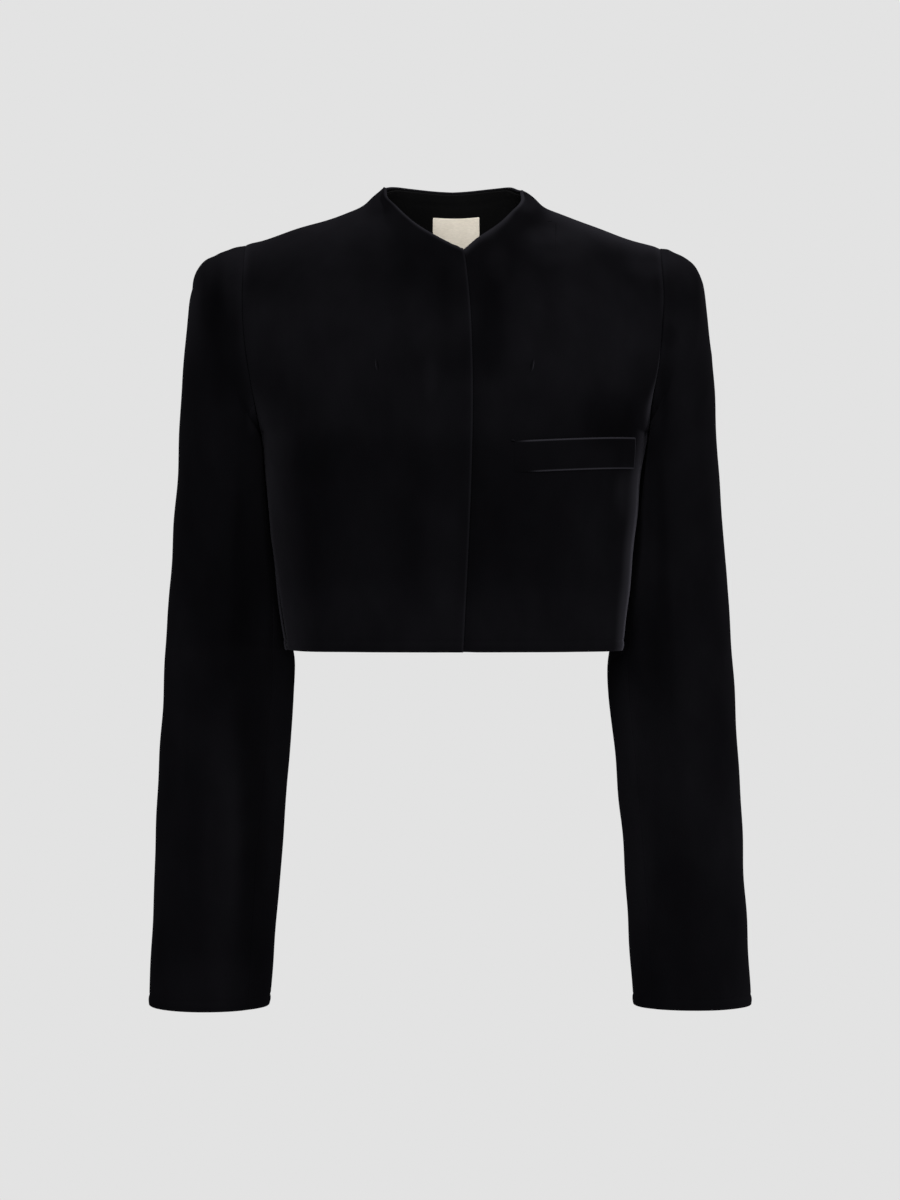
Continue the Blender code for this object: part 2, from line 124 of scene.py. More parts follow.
# Pocket welt on the left front, facing and label inside the back neck
WELT_INNER_X, WELT_OUTER_X = 0.052, 0.157
WELT_TOP_Z, WELT_RISE, WELT_HEIGHT = -0.218, 0.006, 0.0278
WELT_PUFF, WELT_PUFF_POWER, WELT_END, WELT_END_LIFT = 0.0005, 4, 0.22, 0.0002
WELT_FADE, WELT_FOOT_START = 0.016, 0.01
FACING_FOOT, FACING_HEAD = 0.827, 0.9985
FACING_LINE, FACING_LINE_DEPTH, FACING_LINE_WIDTH = 0.011, 0.0006, 0.0012
LABEL_X, LABEL_WIDTH, LABEL_TOP_Z, LABEL_HEIGHT = 0.0031, 0.0455, -0.0041, 0.03
LABEL_FOLD, LABEL_FOLD_WIDTH = 0.0003, 0.002

# Seams, turned edges, hems and cuffs, as they shape the surface
SEAM_DEPTH, SEAM_WIDTH = 0.0004, 0.004
EDGE_PUFF, EDGE_PUFF_IN, EDGE_PUFF_WIDTH = 0.0006, 0.004, 0.0035
HEM_LINE_IN, HEM_LINE_DEPTH, HEM_LINE_WIDTH = 0.0085, 0.0004, 0.0012
ROPE_HEIGHT, ROPE_IN, ROPE_WIDTH = {RIGHT: -0.0002, LEFT: 0.0017}, 0.0065, 0.006
HEM_KICK, HEM_KICK_REACH = 0.0035, 0.07
CUFF_DROP, CUFF_DROP_REACH = {RIGHT: 0.0018, LEFT: 0.0004}, 0.06

# Stand: its two tips, of which the left is blunt, the dip at the back, the higher right edge, round corners
TIP_RISE, TIP_WIDTH, TIP_REACH = 0.0034, 0.015, 0.03
BLUNT_X, BLUNT_DROP, BLUNT_WIDTH = 0.0598, 0.0022, 0.005
SWELL_X, SWELL, SWELL_WIDTH = 0.07, 0.0013, 0.008
CENTRE_DIP, CENTRE_DIP_WIDTH = 0.0022, 0.03
NECK_RISE_X, NECK_RISE, NECK_RISE_WIDTH = -0.045, 0.003, 0.016
NECK_ROUND, NECK_ROUND_WIDTH = {RIGHT: 0.0036, LEFT: 0.0054}, 0.013
NECK_ROUND_Z, NECK_ROUND_REACH = {RIGHT: 0.004, LEFT: -0.0005}, {RIGHT: 0.007, LEFT: 0.0095}

# Rises and dips of the shoulders and sleeve heads: place across, half width, height
SHOULDER_LIFTS = (
    (-0.15, 0.05, 0.0027),
    (-0.185, 0.0085, 0.0012),
    (-0.2015, 0.008, -0.0016),
    (-0.224, 0.007, 0.0015),
    (0.1935, 0.0075, -0.0014),
    (0.22, 0.0065, 0.0014),
)
SHOULDER_LIFT_REACH = 0.035

# Swelling of the body's left side just below the underarm
FULL_SIDE, FULL_SIDE_FROM = {RIGHT: 0.0, LEFT: 0.0026}, 0.5
FULL_SIDE_Z, FULL_SIDE_REACH = -0.212, 0.024

# Painted highlights along the velvet's turned, pressed and rolled edges: strength and width
HIGHLIGHT_WIDTH, WELT_HIGHLIGHT_WIDTH, ARMHOLE_HIGHLIGHT_WIDTH = 0.0007, 0.0003, 0.0045
NECK_HIGHLIGHT, NECK_HIGHLIGHT_WIDTH = {RIGHT: 4.0, LEFT: 4.2}, {RIGHT: 0.0028, LEFT: 0.0058}
FRONT_EDGE_HIGHLIGHT, WELT_HIGHLIGHT = 0.9, 6.0
HEM_HIGHLIGHT, ARMHOLE_HIGHLIGHT, SLEEVE_HEAD_HIGHLIGHT = 0.3, {RIGHT: 0.8, LEFT: 1.3}, 0.3
ARMHOLE_HIGHLIGHT_FOOT, ARMHOLE_HIGHLIGHT_FADE = {RIGHT: -0.08, LEFT: -0.115}, 0.03
ROLL_HIGHLIGHT, ROLL_HIGHLIGHT_LOW, ROLL_WIDTH, ROLL_WIDTH_LOW = 6.5, 20.0, 0.0024, 0.015
ROLL_TOP, ROLL_FADE, ROLL_SPREAD = -0.13, 0.02, 0.07

# Short step for finding slopes, and the least length that is divided by
SLOPE_STEP, SHORTEST = 1e-6, 1e-12

# Creases: start, end, width, depth (a ridge where it is negative) and sideways bow.
# CREASE_END is the share of the depth at both ends.
CREASE_COLUMNS = ("x0", "z0", "x1", "z1", "width", "depth", "bow")
CREASE_END = 0.45
FRONT_CREASES = (
    (0.03, -0.075, 0.033, -0.16, 0.011, 0.0028, 0.003),
    (0.048, -0.048, 0.06, -0.085, 0.011, -0.0024, 0.002),
    (-0.011, -0.075, -0.015, -0.11, 0.016, 0.0018, 0.0),
    (-0.017, -0.145, -0.019, -0.182, 0.007, -0.0012, 0.0),
    (-0.138, -0.105, -0.125, -0.2, 0.026, 0.0034, 0.006),
    (0.144, -0.13, 0.13, -0.205, 0.024, 0.0036, -0.006),
    (-0.09, -0.23, -0.02, -0.242, 0.023, 0.0022, 0.004),
    (-0.05, -0.3, -0.035, -0.338, 0.012, 0.001, 0.0),
    (0.075, -0.3, 0.08, -0.342, 0.011, 0.0012, 0.0),
    (-0.156, -0.33, -0.149, -0.43, 0.02, 0.0036, 0.0),
)
BACK_CREASES = (
    (-0.135, -0.115, -0.115, -0.215, 0.02, 0.003, 0.005),
    (0.138, -0.125, 0.112, -0.225, 0.019, 0.0028, -0.006),
    (-0.025, -0.245, 0.042, -0.26, 0.016, 0.0018, 0.003),
    (-0.07, -0.295, 0.005, -0.315, 0.018, 0.0016, -0.004),
    (0.085, -0.07, 0.06, -0.13, 0.017, -0.0014, 0.0),
    (-0.08, -0.065, -0.062, -0.12, 0.016, -0.0012, 0.0),
)
BODY_CREASES = {FRONT: FRONT_CREASES, BACK: BACK_CREASES}

# Sleeve creases: the same, with angles round the arm in degrees in place of x
ARM_RADIUS = 0.055
LEFT_SLEEVE_CREASES = (
    (0, -0.07, 0, -0.135, 0.032, 0.0048, 0.0),
    (0, -0.1, 0, -0.33, 0.045, 0.0036, 0.0),
    (60, -0.115, 72, -0.142, 0.006, -0.0012, 0.0),
    (48, -0.115, 58, -0.15, 0.005, 0.0012, 0.0),
    (95, -0.305, 60, -0.34, 0.013, 0.0018, 0.004),
    (130, -0.425, 105, -0.455, 0.008, 0.0022, 0.003),
    (70, -0.5, 78, -0.61, 0.017, 0.0016, -0.003),
    (180, -0.48, 180, -0.75, 0.035, 0.0018, 0.0),
    (-60, -0.33, -110, -0.37, 0.014, 0.0024, 0.005),
    (-80, -0.415, -130, -0.442, 0.013, 0.002, -0.004),
)
RIGHT_SLEEVE_CREASES = (
    (0, -0.048, 0, -0.076, 0.025, -0.0056, 0.0),
    (62, -0.12, 78, -0.16, 0.009, 0.0016, 0.0),
    (100, -0.27, 108, -0.4, 0.016, 0.003, 0.003),
    (112, -0.39, 116, -0.7, 0.013, 0.0034, 0.002),
    (74, -0.44, 80, -0.71, 0.017, -0.0018, -0.002),
    (0, -0.32, 0, -0.62, 0.045, -0.0022, 0.0),
    (180, -0.41, 180, -0.7, 0.035, -0.0034, 0.0),
    (45, -0.22, 60, -0.3, 0.015, 0.0014, 0.004),
    (-65, -0.32, -115, -0.355, 0.013, 0.0022, -0.004),
    (-75, -0.43, -125, -0.46, 0.015, 0.0022, 0.005),
)
SLEEVE_CREASES = {RIGHT: RIGHT_SLEEVE_CREASES, LEFT: LEFT_SLEEVE_CREASES}

# Slow unevenness of cloth that is worn: height, and waves over a metre across and up
WANDER_HEIGHT = 0.00045
WANDER_WAVES = ((71, 38, 0.4), (-53, 64, 1.9), (118, -47, 3.1), (29, 97, 4.4), (-96, -88, 5.2))

# Soft patches painted lighter or darker, by place, half width, half height, strength: the nap's own patchy
# tone, mixed on the front and the sleeves with painted light and painted shade. FRONT_TURN sets how far
# round to the side the front's patches reach.
PATCH_COLUMNS = ("x", "z", "half_width", "half_height", "strength")
FRONT_TURN = 0.5
FRONT_NAP_LIGHT_AND_SHADE = (
    (-0.105, -0.12, 0.085, 0.052, 0.66),
    (-0.1, -0.065, 0.085, 0.042, -0.16),
    (0.12, -0.125, 0.072, 0.056, 0.6),
    (0.115, -0.07, 0.065, 0.035, 0.18),
    (-0.01, -0.188, 0.15, 0.03, 0.3),
    (-0.07, -0.378, 0.1, 0.036, 0.45),
    (0.08, -0.378, 0.09, 0.036, 0.28),
    (-0.005, -0.32, 0.02, 0.05, 0.35),
    (-0.105, -0.23, 0.042, 0.026, -0.15),
    (0.036, -0.118, 0.011, 0.05, -0.2),
    (0.064, -0.106, 0.017, 0.048, 0.3),
    (0.07, -0.154, 0.026, 0.02, 0.24),
    (-0.066, -0.154, 0.026, 0.02, 0.16),
    (-0.02, -0.1, 0.016, 0.04, 0.3),
    (0.01, -0.095, 0.014, 0.04, 0.25),
    (0.042, -0.06, 0.01, 0.018, 0.4),
    (0.095, -0.042, 0.03, 0.018, 0.55),
    (0.176, -0.05, 0.02, 0.02, 1.0),
    (-0.064, -0.0085, 0.011, 0.005, -0.25),
    (0.069, 0.001, 0.011, 0.0105, 1.0),
    (0.084, -0.032, 0.018, 0.01, 0.65),
    (0.034, -0.031, 0.009, 0.008, 0.4),
    (-0.004, -0.09, 0.02, 0.024, -0.28),
    (-0.0165, -0.165, 0.006, 0.02, 0.3),
    (0.137, -0.195, 0.028, 0.026, -0.4),
    (-0.192, -0.065, 0.012, 0.035, 0.7),
    (-0.205, -0.58, 0.018, 0.13, 0.45),
    (-0.245, -0.53, 0.03, 0.22, 0.25),
    (-0.178, -0.56, 0.014, 0.16, -0.24),
    (-0.22, -0.705, 0.045, 0.03, 0.4),
    (-0.17, -0.3, 0.014, 0.09, 0.2),
    (0.172, -0.31, 0.014, 0.09, 0.7),
    (0.155, -0.261, 0.01, 0.022, 0.8),
    (0.215, -0.5, 0.05, 0.25, 0.25),
    (0.165, -0.55, 0.018, 0.2, 0.35),
    (0.158, -0.475, 0.012, 0.06, 0.35),
    (0.21, -0.135, 0.016, 0.05, 0.25),
    (0.215, -0.205, 0.04, 0.045, 0.28),
)
BACK_NAP = (
    (-0.06, -0.12, 0.06, 0.07, 0.7),
    (0.08, -0.09, 0.05, 0.06, 0.8),
    (0.03, -0.37, 0.1, 0.04, 0.5),
    (-0.13, -0.2, 0.03, 0.05, -0.35),
    (0.13, -0.19, 0.026, 0.045, -0.4),
    (-0.215, -0.46, 0.017, 0.12, 0.4),
    (0.21, -0.53, 0.018, 0.14, 0.45),
)
SLEEVE_NAP_LIGHT_AND_SHADE = (
    (-0.198, -0.115, 0.019, 0.075, -0.42),
    (-0.175, -0.192, 0.005, 0.016, 0.8),
    (0.181, -0.185, 0.007, 0.026, 0.6),
    (0.193, -0.122, 0.008, 0.011, -0.35),
)

# Painted light on the sleeves: lighter where they face the body and lie in its shade, a painted highlight
# over their heads and a painted rim light down their outer rims
INNER_LIGHT, INNER_LIGHT_FROM = {RIGHT: 0.5, LEFT: 1.2}, 0.55
INNER_LIGHT_FOOT, INNER_LIGHT_FADE = -0.405, 0.04
HEAD_HIGHLIGHT, HEAD_HIGHLIGHT_FROM = {RIGHT: 1.5, LEFT: 2.1}, 0.36
SLEEVE_RIM, SLEEVE_RIM_LOW = {RIGHT: 1.4, LEFT: 1.5}, {RIGHT: 0.1, LEFT: 0.4}
SLEEVE_RIM_FROM, SLEEVE_RIM_FOOT, SLEEVE_RIM_FADE = 0.62, -0.17, 0.09

# Painted sheen down the sides of the body, a painted highlight at its side edge that is raised where the
# sleeve shades it, and a painted highlight over its shoulders
SIDE_SHEEN, SIDE_SHEEN_FROM = {RIGHT: 1.8, LEFT: 5.0}, {RIGHT: 0.55, LEFT: 0.84}
SIDE_EDGE, SIDE_EDGE_FROM = {RIGHT: 3.0, LEFT: 11.0}, 0.95
SIDE_SHEEN_TOP, SIDE_SHEEN_FULL = -0.13, -0.215
SIDE_SHADE, SIDE_SHADE_TOP, SIDE_SHADE_FOOT = {RIGHT: 0.0, LEFT: 3.0}, -0.23, -0.33
SHOULDER_HIGHLIGHT, SHOULDER_HIGHLIGHT_FROM = {RIGHT: 2.6, LEFT: 5.4}, {RIGHT: 0.45, LEFT: 0.66}
SHOULDER_HIGHLIGHT_INNER, SHOULDER_HIGHLIGHT_FADE = {RIGHT: 0.038, LEFT: 0.064}, 0.032

# Small raised tucks: darts, a stitch and the welt's tack. Each has a painted highlight along one long side
# and painted shade along the other.
TUCK_COLUMNS = ("side", "x0", "z0", "x1", "z1", "width", "height", "painted_highlight", "painted_shade")
TUCKS = {
    "dart_tip_left": (LEFT, 0.0698, -0.1462, 0.0674, -0.1588, 0.003, 0.0011, 6.0, 0.9),
    "dart_tip_right": (RIGHT, 0.0668, -0.1462, 0.0648, -0.1588, 0.003, 0.0011, 4.6, 1.0),
    "shoulder_dart_left": (LEFT, 0.0918, -0.013, 0.0912, -0.06, 0.0018, 0.0004, 0.5, 0.3),
    "shoulder_stitch_left": (LEFT, 0.0835, -0.0182, 0.089, -0.0172, 0.0014, 0.0005, 7.0, 0.0),
    "welt_tack": (LEFT, 0.0495, -0.2178, 0.054, -0.2184, 0.0024, 0.0012, 2.5, 1.5),
}
TUCK_STEPS, TUCK_WALL, TUCK_SUNK, TUCK_TAPER = (28, 10), 0.0003, 0.0002, 0.7

# Fine grids
NECK_STEPS, SHOULDER_STEPS, BODY_STEPS = 44, 60, 150
TOP_STEPS, UNDER_STEPS, SLEEVE_STEPS = 84, 46, 220
WELT_STEPS, FACING_STEPS, LABEL_STEPS = (64, 26), (70, 34), (48, 40)
CROWDING = 0.72
CORNER_BLEND = 3
DENSE_NECK, DENSE_SHOULDER, DENSE_ROWS = 120, 240, 300
DENSE_UNDER, DENSE_TOP, DENSE_HEAD, DENSE_ARM = 110, 220, 110, 180
RIM_STEPS = 5
RIM_TURNS = np.linspace(math.pi / 2, -math.pi / 2, RIM_STEPS + 1)[1:-1]

# Noises of the materials: scale, detail, and stretch along x, y and z
CLOUDS = (11.0, 3.0, (1.0, 1.0, 0.6))
STREAKS = (60.0, 2.0, (1.0, 1.0, 0.6))
PILE = (1500.0, 2.0, (1.0, 1.0, 0.5))
INSIDE_WEAVE = (900.0, 2.0, (1.0, 1.0, 3.0))
FACING_WEAVE = (1100.0, 2.0, (3.0, 1.0, 1.0))
LABEL_TONE = (60.0, 2.0, (1.0, 1.0, 1.0))
LABEL_THREADS = (900.0, 1.0, (0.35, 1.0, 2.4))

# Colours drawn from those noises: where dark ends and light begins, dark, light.
# The darkest share is the least share of its colour that the velvet keeps where patches and painted shade
# darken it.
CLOUD_TONES = (0.36, 0.66, (0.00115, 0.0011, 0.00135), (0.0017, 0.00165, 0.002))
STREAK_TONES = (0.3, 0.75, (0.9, 0.9, 0.9), (1.0, 1.0, 1.0))
INSIDE_TONES = (0.3, 0.7, (0.0014, 0.0014, 0.0015), (0.0028, 0.0028, 0.003))
FACING_TONES = (0.3, 0.7, (0.0013, 0.0013, 0.0014), (0.0028, 0.0028, 0.0029))
LABEL_TONES = (0.3, 0.7, (0.7, 0.64, 0.54), (0.76, 0.7, 0.6))
THREAD_TONES = (0.35, 0.65, (0.9, 0.9, 0.9), (1.0, 1.0, 1.0))
DARKEST_SHADE_SHARE = 0.25

# Relief drawn from those noises: strength and depth
BRUSHED_RELIEF, PILE_RELIEF = (0.15, 0.001), (0.3, 0.0003)
INSIDE_RELIEF, FACING_RELIEF, LABEL_RELIEF = (0.2, 0.0002), (0.25, 0.0002), (0.35, 0.0003)

# Camera: the photo's frame is 1.08 m high at the shoulders, seen from straight in front
PHOTO_SIZE = (900, 1200)
PIXEL = 0.0009
ORIGIN_PIXEL_Y = 205
CAMERA_DISTANCE = 2.8
SENSOR = 36.0

# Backdrop and floor
BACKDROP = 0.768
FLOOR_Z, FLOOR_RADIUS, FLOOR_FADE = -1.4, 2.3, 1.0
FLOOR_COLOUR, FLOOR_CORNERS = (0.56, 0.56, 0.56, 1.0), 96

# Soft lights, right and left as the camera sees them: place, size, power
LIGHT_TARGET = (0.0, 0.0, -0.3)
LIGHT_COLUMNS = ("place", "size", "power")
LIGHTS = {
    "top": ((0.3, -0.2, 2.3), 1.8, 60.0),
    "front": ((-0.3, -3.3, 0.5), 2.0, 135.0),
    "right_side": ((2.4, -0.5, -0.2), 1.2, 75.0),
    "left_side": ((-2.4, -0.8, 0.0), 1.6, 30.0),
    "back": ((-0.5, 3.2, 0.6), 2.2, 70.0),
}


# Form of the jacket

def blend(start, end, share):
    """Value between start and end."""
    return start + (end - start) * share


def smooth(share):
    """Soft step from 0 to 1."""
    share = np.clip(share, 0.0, 1.0)
    return share * share * (3.0 - 2.0 * share)


def rising(share, start):
    """Soft step that begins at a share and is full at 1."""
    return smooth((share - start) / (1 - start))


def bump(distance, width):
    """Soft hill, 1 at no distance."""
    return np.exp(-(distance / width) ** 2)


def column(table, names, name, level):
    """Smooth reading of one named column of a section table at the given levels."""
    rows = np.array(table)
    levels = rows[:, 0]
    values = rows[:, names.index(name)]
    slopes = np.gradient(values, levels)
    level = np.asarray(level, dtype=float)
    place = np.clip(np.searchsorted(levels, level) - 1, 0, len(levels) - 2)
    span = levels[place + 1] - levels[place]
    t = (level - levels[place]) / span
    inside = np.clip(t, 0.0, 1.0)
    first = (1 + 2 * inside) * (1 - inside) ** 2 * values[place]
    first = first + inside * (1 - inside) ** 2 * span * slopes[place]
    last = inside ** 2 * (3 - 2 * inside) * values[place + 1]
    last = last + inside ** 2 * (inside - 1) * span * slopes[place + 1]
    past = np.where(t > 1, slopes[place + 1], slopes[place]) * (t - inside) * span
    return first + last + past


def body(name, level):
    """Size of the body's section at the given levels."""
    return column(BODY_SECTIONS, BODY_COLUMNS, name, level)


def arm(name, level):
    """Size or place of the sleeve's section at the given levels."""
    return column(SLEEVE_SECTIONS, SLEEVE_COLUMNS, name, level)


def ridge(face, x):
    """Level of the ridge over the shoulders, carried smoothly across the neck."""
    inside = np.clip(1 - (x / NECK_X) ** 2, 0.0, None)
    beyond = np.clip(np.abs(x) - NECK_X, 0.0, None)
    level = NECK_Z - STAND_LIFT - SHOULDER_FALL * beyond + SHOULDER_HOLLOW * beyond ** 2
    return level + SHOULDER_FALL * NECK_X / 2 * inside + CROWN[face] * inside ** 2


def top_edge(face, side, x):
    """Neck edge and shoulder seam over x: level before the stand lifts it, and the lift."""
    share = np.clip(np.abs(x) / NECK_X, 0.0, 1.0)
    if face == FRONT:
        along = np.clip((x - side * POINT_X) / (NECK_X - side * POINT_X), 0.0, 1.0)
        neck_z = POINT_Z + POINT_RISE * along + POINT_FLICK * along ** FLICK_POWER
        lift = STAND_LIFT * share ** 2
    else:
        neck_z = blend(CENTRE_BACK_Z, NECK_Z, share ** BACK_NECK_POWER)
        lift = blend(STAND_LIFT_BACK, STAND_LIFT, share ** BACK_NECK_POWER)
    return np.where(x < NECK_X, neck_z - lift, ridge(face, x)), lift


def closing_depth(face, across, z):
    """Depth of the body's section at a level, for each share of its half width.

    Low sections close round the side. Higher ones stay open at the armhole, whose lower edge is round.
    """
    armhole = ARMHOLE[face]
    middle = body(DEPTH_NAMES[face], z)
    inside = np.clip(1 - np.abs(across) ** SQUARENESS, 0.0, 1.0)
    closed = middle * inside ** (1 / SQUARENESS)
    opened = armhole + (middle - armhole) * inside
    rise = np.clip((z - UNDERARM_Z) / ARMHOLE_ROUND, 0.0, 1.0)
    at_edge = np.sqrt(1 - (1 - rise) ** 2)
    within = smooth((z - UNDERARM_Z + OPENING_BELOW) / (OPENING_BELOW + OPENING_ABOVE))
    return face * blend(closed, opened, blend(within, at_edge, np.abs(across) ** EDGE_POWER))


def body_point(face, side, across, height):
    """Point on the body: across is a share of the half width, height a share from hem to top edge."""
    across = np.clip(across, -1.0, 1.0)
    top_x = across * SHOULDER_X
    top_z, lift = top_edge(face, side, top_x)
    z = blend(HEM_Z, top_z, np.clip(height, 0.0, 1.0))
    x = across * body("half_width", z)
    drop = blend(ARCH_DROP_MIDDLE[face], ARCH_DROP, smooth(np.abs(across)))
    arch = np.clip(1 - (ridge(face, top_x) - z) / drop, 0.0, 1.0)
    y = blend(SEAM_Y, closing_depth(face, across, z), (1 - arch ** ARCH_POWER) ** (1 / ARCH_ROUND[face]))
    off_neck = np.hypot(np.clip(np.abs(x) - NECK_X, 0.0, None), top_z - z)
    z = z + lift * np.clip(1 - off_neck / STAND_REACH, 0.0, 1.0) ** 2
    return np.stack([side * x + BODY_SHIFT, y, z], axis=-1)


def unit(vectors):
    """Vectors brought to length 1."""
    return vectors / np.maximum(np.linalg.norm(vectors, axis=-1, keepdims=True), SHORTEST)


def body_normal(face, side, across, height):
    """Outward direction of the body's surface, from short steps along it."""
    angle = np.arcsin(np.clip(across, -1.0, 1.0))
    steps = []
    for turn, climb in ((SLOPE_STEP, 0), (-SLOPE_STEP, 0), (0, SLOPE_STEP), (0, -SLOPE_STEP)):
        moved = np.sin(np.clip(angle + turn, -math.pi / 2, math.pi / 2))
        steps.append(body_point(face, side, moved, height + climb))
    normal = np.cross(unit(steps[0] - steps[1]), unit(steps[2] - steps[3]))
    return unit(normal) * (-face * side)


def parts(points):
    """The x, y and z of an array of points."""
    return points[..., 0], points[..., 1], points[..., 2]


def lap_edge(z):
    """How far the lapped front edge stands past the centre, over its level."""
    down = np.clip((POINT_Z - z) / (POINT_Z - HEM_Z), 0.0, 1.0)
    return LAP_X + LAP_BOW * np.sin(math.pi * down ** LAP_SKEW)


def crowded(count):
    """Shares from 0 to 1 that lie closer together at both ends."""
    even = np.linspace(0.0, 1.0, count + 1)
    return even - CROWDING * np.sin(2 * math.pi * even) / (2 * math.pi)


def lengths_along(points):
    """Running length along the first direction of a grid."""
    steps = np.linalg.norm(np.diff(points, axis=0), axis=-1)
    return np.concatenate([np.zeros((1, points.shape[1])), np.cumsum(steps, axis=0)])


def respaced(points, normal, count, start, end):
    """Read a grid again along its first direction: close together at both ends, less the two margins."""
    lengths = lengths_along(points)
    both = np.concatenate([points, normal], axis=-1)
    lines = []
    for line in range(points.shape[1]):
        wanted = blend(start, lengths[-1, line] - end, crowded(count))
        lines.append([np.interp(wanted, lengths[:, line], values) for values in both[:, line].T])
    read = np.array(lines).transpose(2, 0, 1)
    return read[..., :3], unit(read[..., 3:])


def respaced_up(points, normal, count, low, high):
    """The same along the second direction of a grid."""
    points, normal = respaced(points.swapaxes(0, 1), normal.swapaxes(0, 1), count, low, high)
    return points.swapaxes(0, 1), normal.swapaxes(0, 1)


# Shaping of the surface

def crease_relief(table, across, z, turn=None):
    """Height of the creases over the surface. turn is the length once round, for a tube."""
    raised = np.zeros(np.broadcast(across, z).shape)
    for row in table:
        crease = dict(zip(CREASE_COLUMNS, row))
        run = crease["x1"] - crease["x0"], crease["z1"] - crease["z0"]
        length = math.hypot(*run)
        off_x = across - crease["x0"]
        if turn:
            off_x = (off_x - run[0] / 2 + turn / 2) % turn - turn / 2 + run[0] / 2
        off_z = z - crease["z0"]
        t = (off_x * run[0] + off_z * run[1]) / length ** 2
        share = np.clip(t, 0.0, 1.0)
        sideways = (off_z * run[0] - off_x * run[1]) / length - crease["bow"] * 4 * share * (1 - share)
        past = (t - share) * length
        fade = blend(CREASE_END, 1.0, np.sin(math.pi * share))
        raised = raised - crease["depth"] * fade * bump(np.hypot(sideways, past), crease["width"])
    return raised


def wander(across, z):
    """Slow unevenness of worn cloth."""
    total = sum(np.sin(u * across + v * z + phase) for u, v, phase in WANDER_WAVES)
    return WANDER_HEIGHT * total / math.sqrt(len(WANDER_WAVES))


def edge_distances(points):
    """Distance of each grid point from the first and last column and from the low and high row."""
    across = lengths_along(points)
    up = lengths_along(points.swapaxes(0, 1)).T
    return across, across[-1:] - across, up, up[:, -1:] - up


def seam(distance):
    """Groove where two pieces are sewn together."""
    return -SEAM_DEPTH * bump(distance, SEAM_WIDTH)


def turned_edge(distance):
    """Soft swelling of an edge that is turned in."""
    return EDGE_PUFF * bump(distance - EDGE_PUFF_IN, EDGE_PUFF_WIDTH)


def painted_highlight(distance, width=HIGHLIGHT_WIDTH):
    """Strength of a painted highlight along an edge that is turned or pressed."""
    return bump(distance, width)


def hem(distance):
    """Turned edge with the faint line of its hem."""
    return turned_edge(distance) - HEM_LINE_DEPTH * bump(distance - HEM_LINE_IN, HEM_LINE_WIDTH)


# Grids of the pieces

def shoulder_lift(points):
    """Rise of the fuller right shoulder, and the unevenness of both sleeve heads."""
    x = points[..., 0] - BODY_SHIFT
    on_ridge = smooth((points[..., 2] - ridge(FRONT, x) + SHOULDER_LIFT_REACH) / SHOULDER_LIFT_REACH)
    return on_ridge * sum(height * bump(x - place, width) for place, width, height in SHOULDER_LIFTS)


def stand_lift(points):
    """Rise of the stand's two tips, the dip between them at the back, and the higher right edge."""
    x, y, z = parts(points)
    x = x - BODY_SHIFT
    near_top = smooth((z - NECK_Z + TIP_REACH) / TIP_REACH)
    tips = TIP_RISE * bump(np.abs(x) - NECK_X, TIP_WIDTH)
    tips = tips + SWELL * bump(x - SWELL_X, SWELL_WIDTH) - BLUNT_DROP * bump(x - BLUNT_X, BLUNT_WIDTH)
    dip = CENTRE_DIP * bump(x, CENTRE_DIP_WIDTH) * (y > SEAM_Y)
    near_neck = smooth((z - POINT_Z) / POINT_RISE) * (y < SEAM_Y)
    right_neck = NECK_RISE * bump(x - NECK_RISE_X, NECK_RISE_WIDTH) * near_neck
    return (tips - dip) * near_top + right_neck


def neck_round(points):
    """How far the neck edge rounds outwards below its two corners."""
    x = points[..., 0] - BODY_SHIFT
    total = np.zeros_like(x)
    for side in (RIGHT, LEFT):
        near = bump(side * x - NECK_X, NECK_ROUND_WIDTH)
        level = bump(points[..., 2] - NECK_ROUND_Z[side], NECK_ROUND_REACH[side])
        total = total + side * NECK_ROUND[side] * near * level
    return total


def full_side(side, z):
    """How far the side of the body swells at a level."""
    return FULL_SIDE[side] * bump(z - FULL_SIDE_Z, FULL_SIDE_REACH)


def body_surface(face, side, across, height):
    """Points of the body with its creases, and its outward directions."""
    points = body_point(face, side, across, height)
    normal = body_normal(face, side, across, height)
    x, _, z = parts(points)
    raised = crease_relief(BODY_CREASES[face], x, z) + wander(x, z)
    low = smooth(1 - (z - HEM_Z) / HEM_KICK_REACH)
    raised = raised + HEM_KICK * low * np.abs(normal[..., 1]) ** 2
    raised = raised + full_side(side, z) * rising(np.abs(normal[..., 0]), FULL_SIDE_FROM)
    points = points + normal * raised[..., None]
    points[..., 2] = points[..., 2] + stand_lift(points) + shoulder_lift(points)
    points[..., 0] = points[..., 0] + neck_round(points)
    return points, normal


def patches(table, points):
    """Sum of the soft lighter and darker patches over a surface: patchy tone, painted light and painted
    shade.
    """
    total = np.zeros(points.shape[:-1])
    for row in table:
        patch = dict(zip(PATCH_COLUMNS, row))
        away = np.hypot((points[..., 0] - patch["x"]) / patch["half_width"],
                        (points[..., 2] - patch["z"]) / patch["half_height"])
        total = total + patch["strength"] * bump(away ** 2, 1.0)
    return total


def at_front(outward):
    """Soft share of a surface that faces the front."""
    return smooth(FRONT_TURN - outward[..., 1])


def nap_light_and_shade(points, outward):
    """How much lighter or darker the velvet is painted, on the front and on the back: patchy tone, with
    painted light and painted shade on the front.
    """
    return blend(patches(BACK_NAP, points), patches(FRONT_NAP_LIGHT_AND_SHADE, points), at_front(outward))


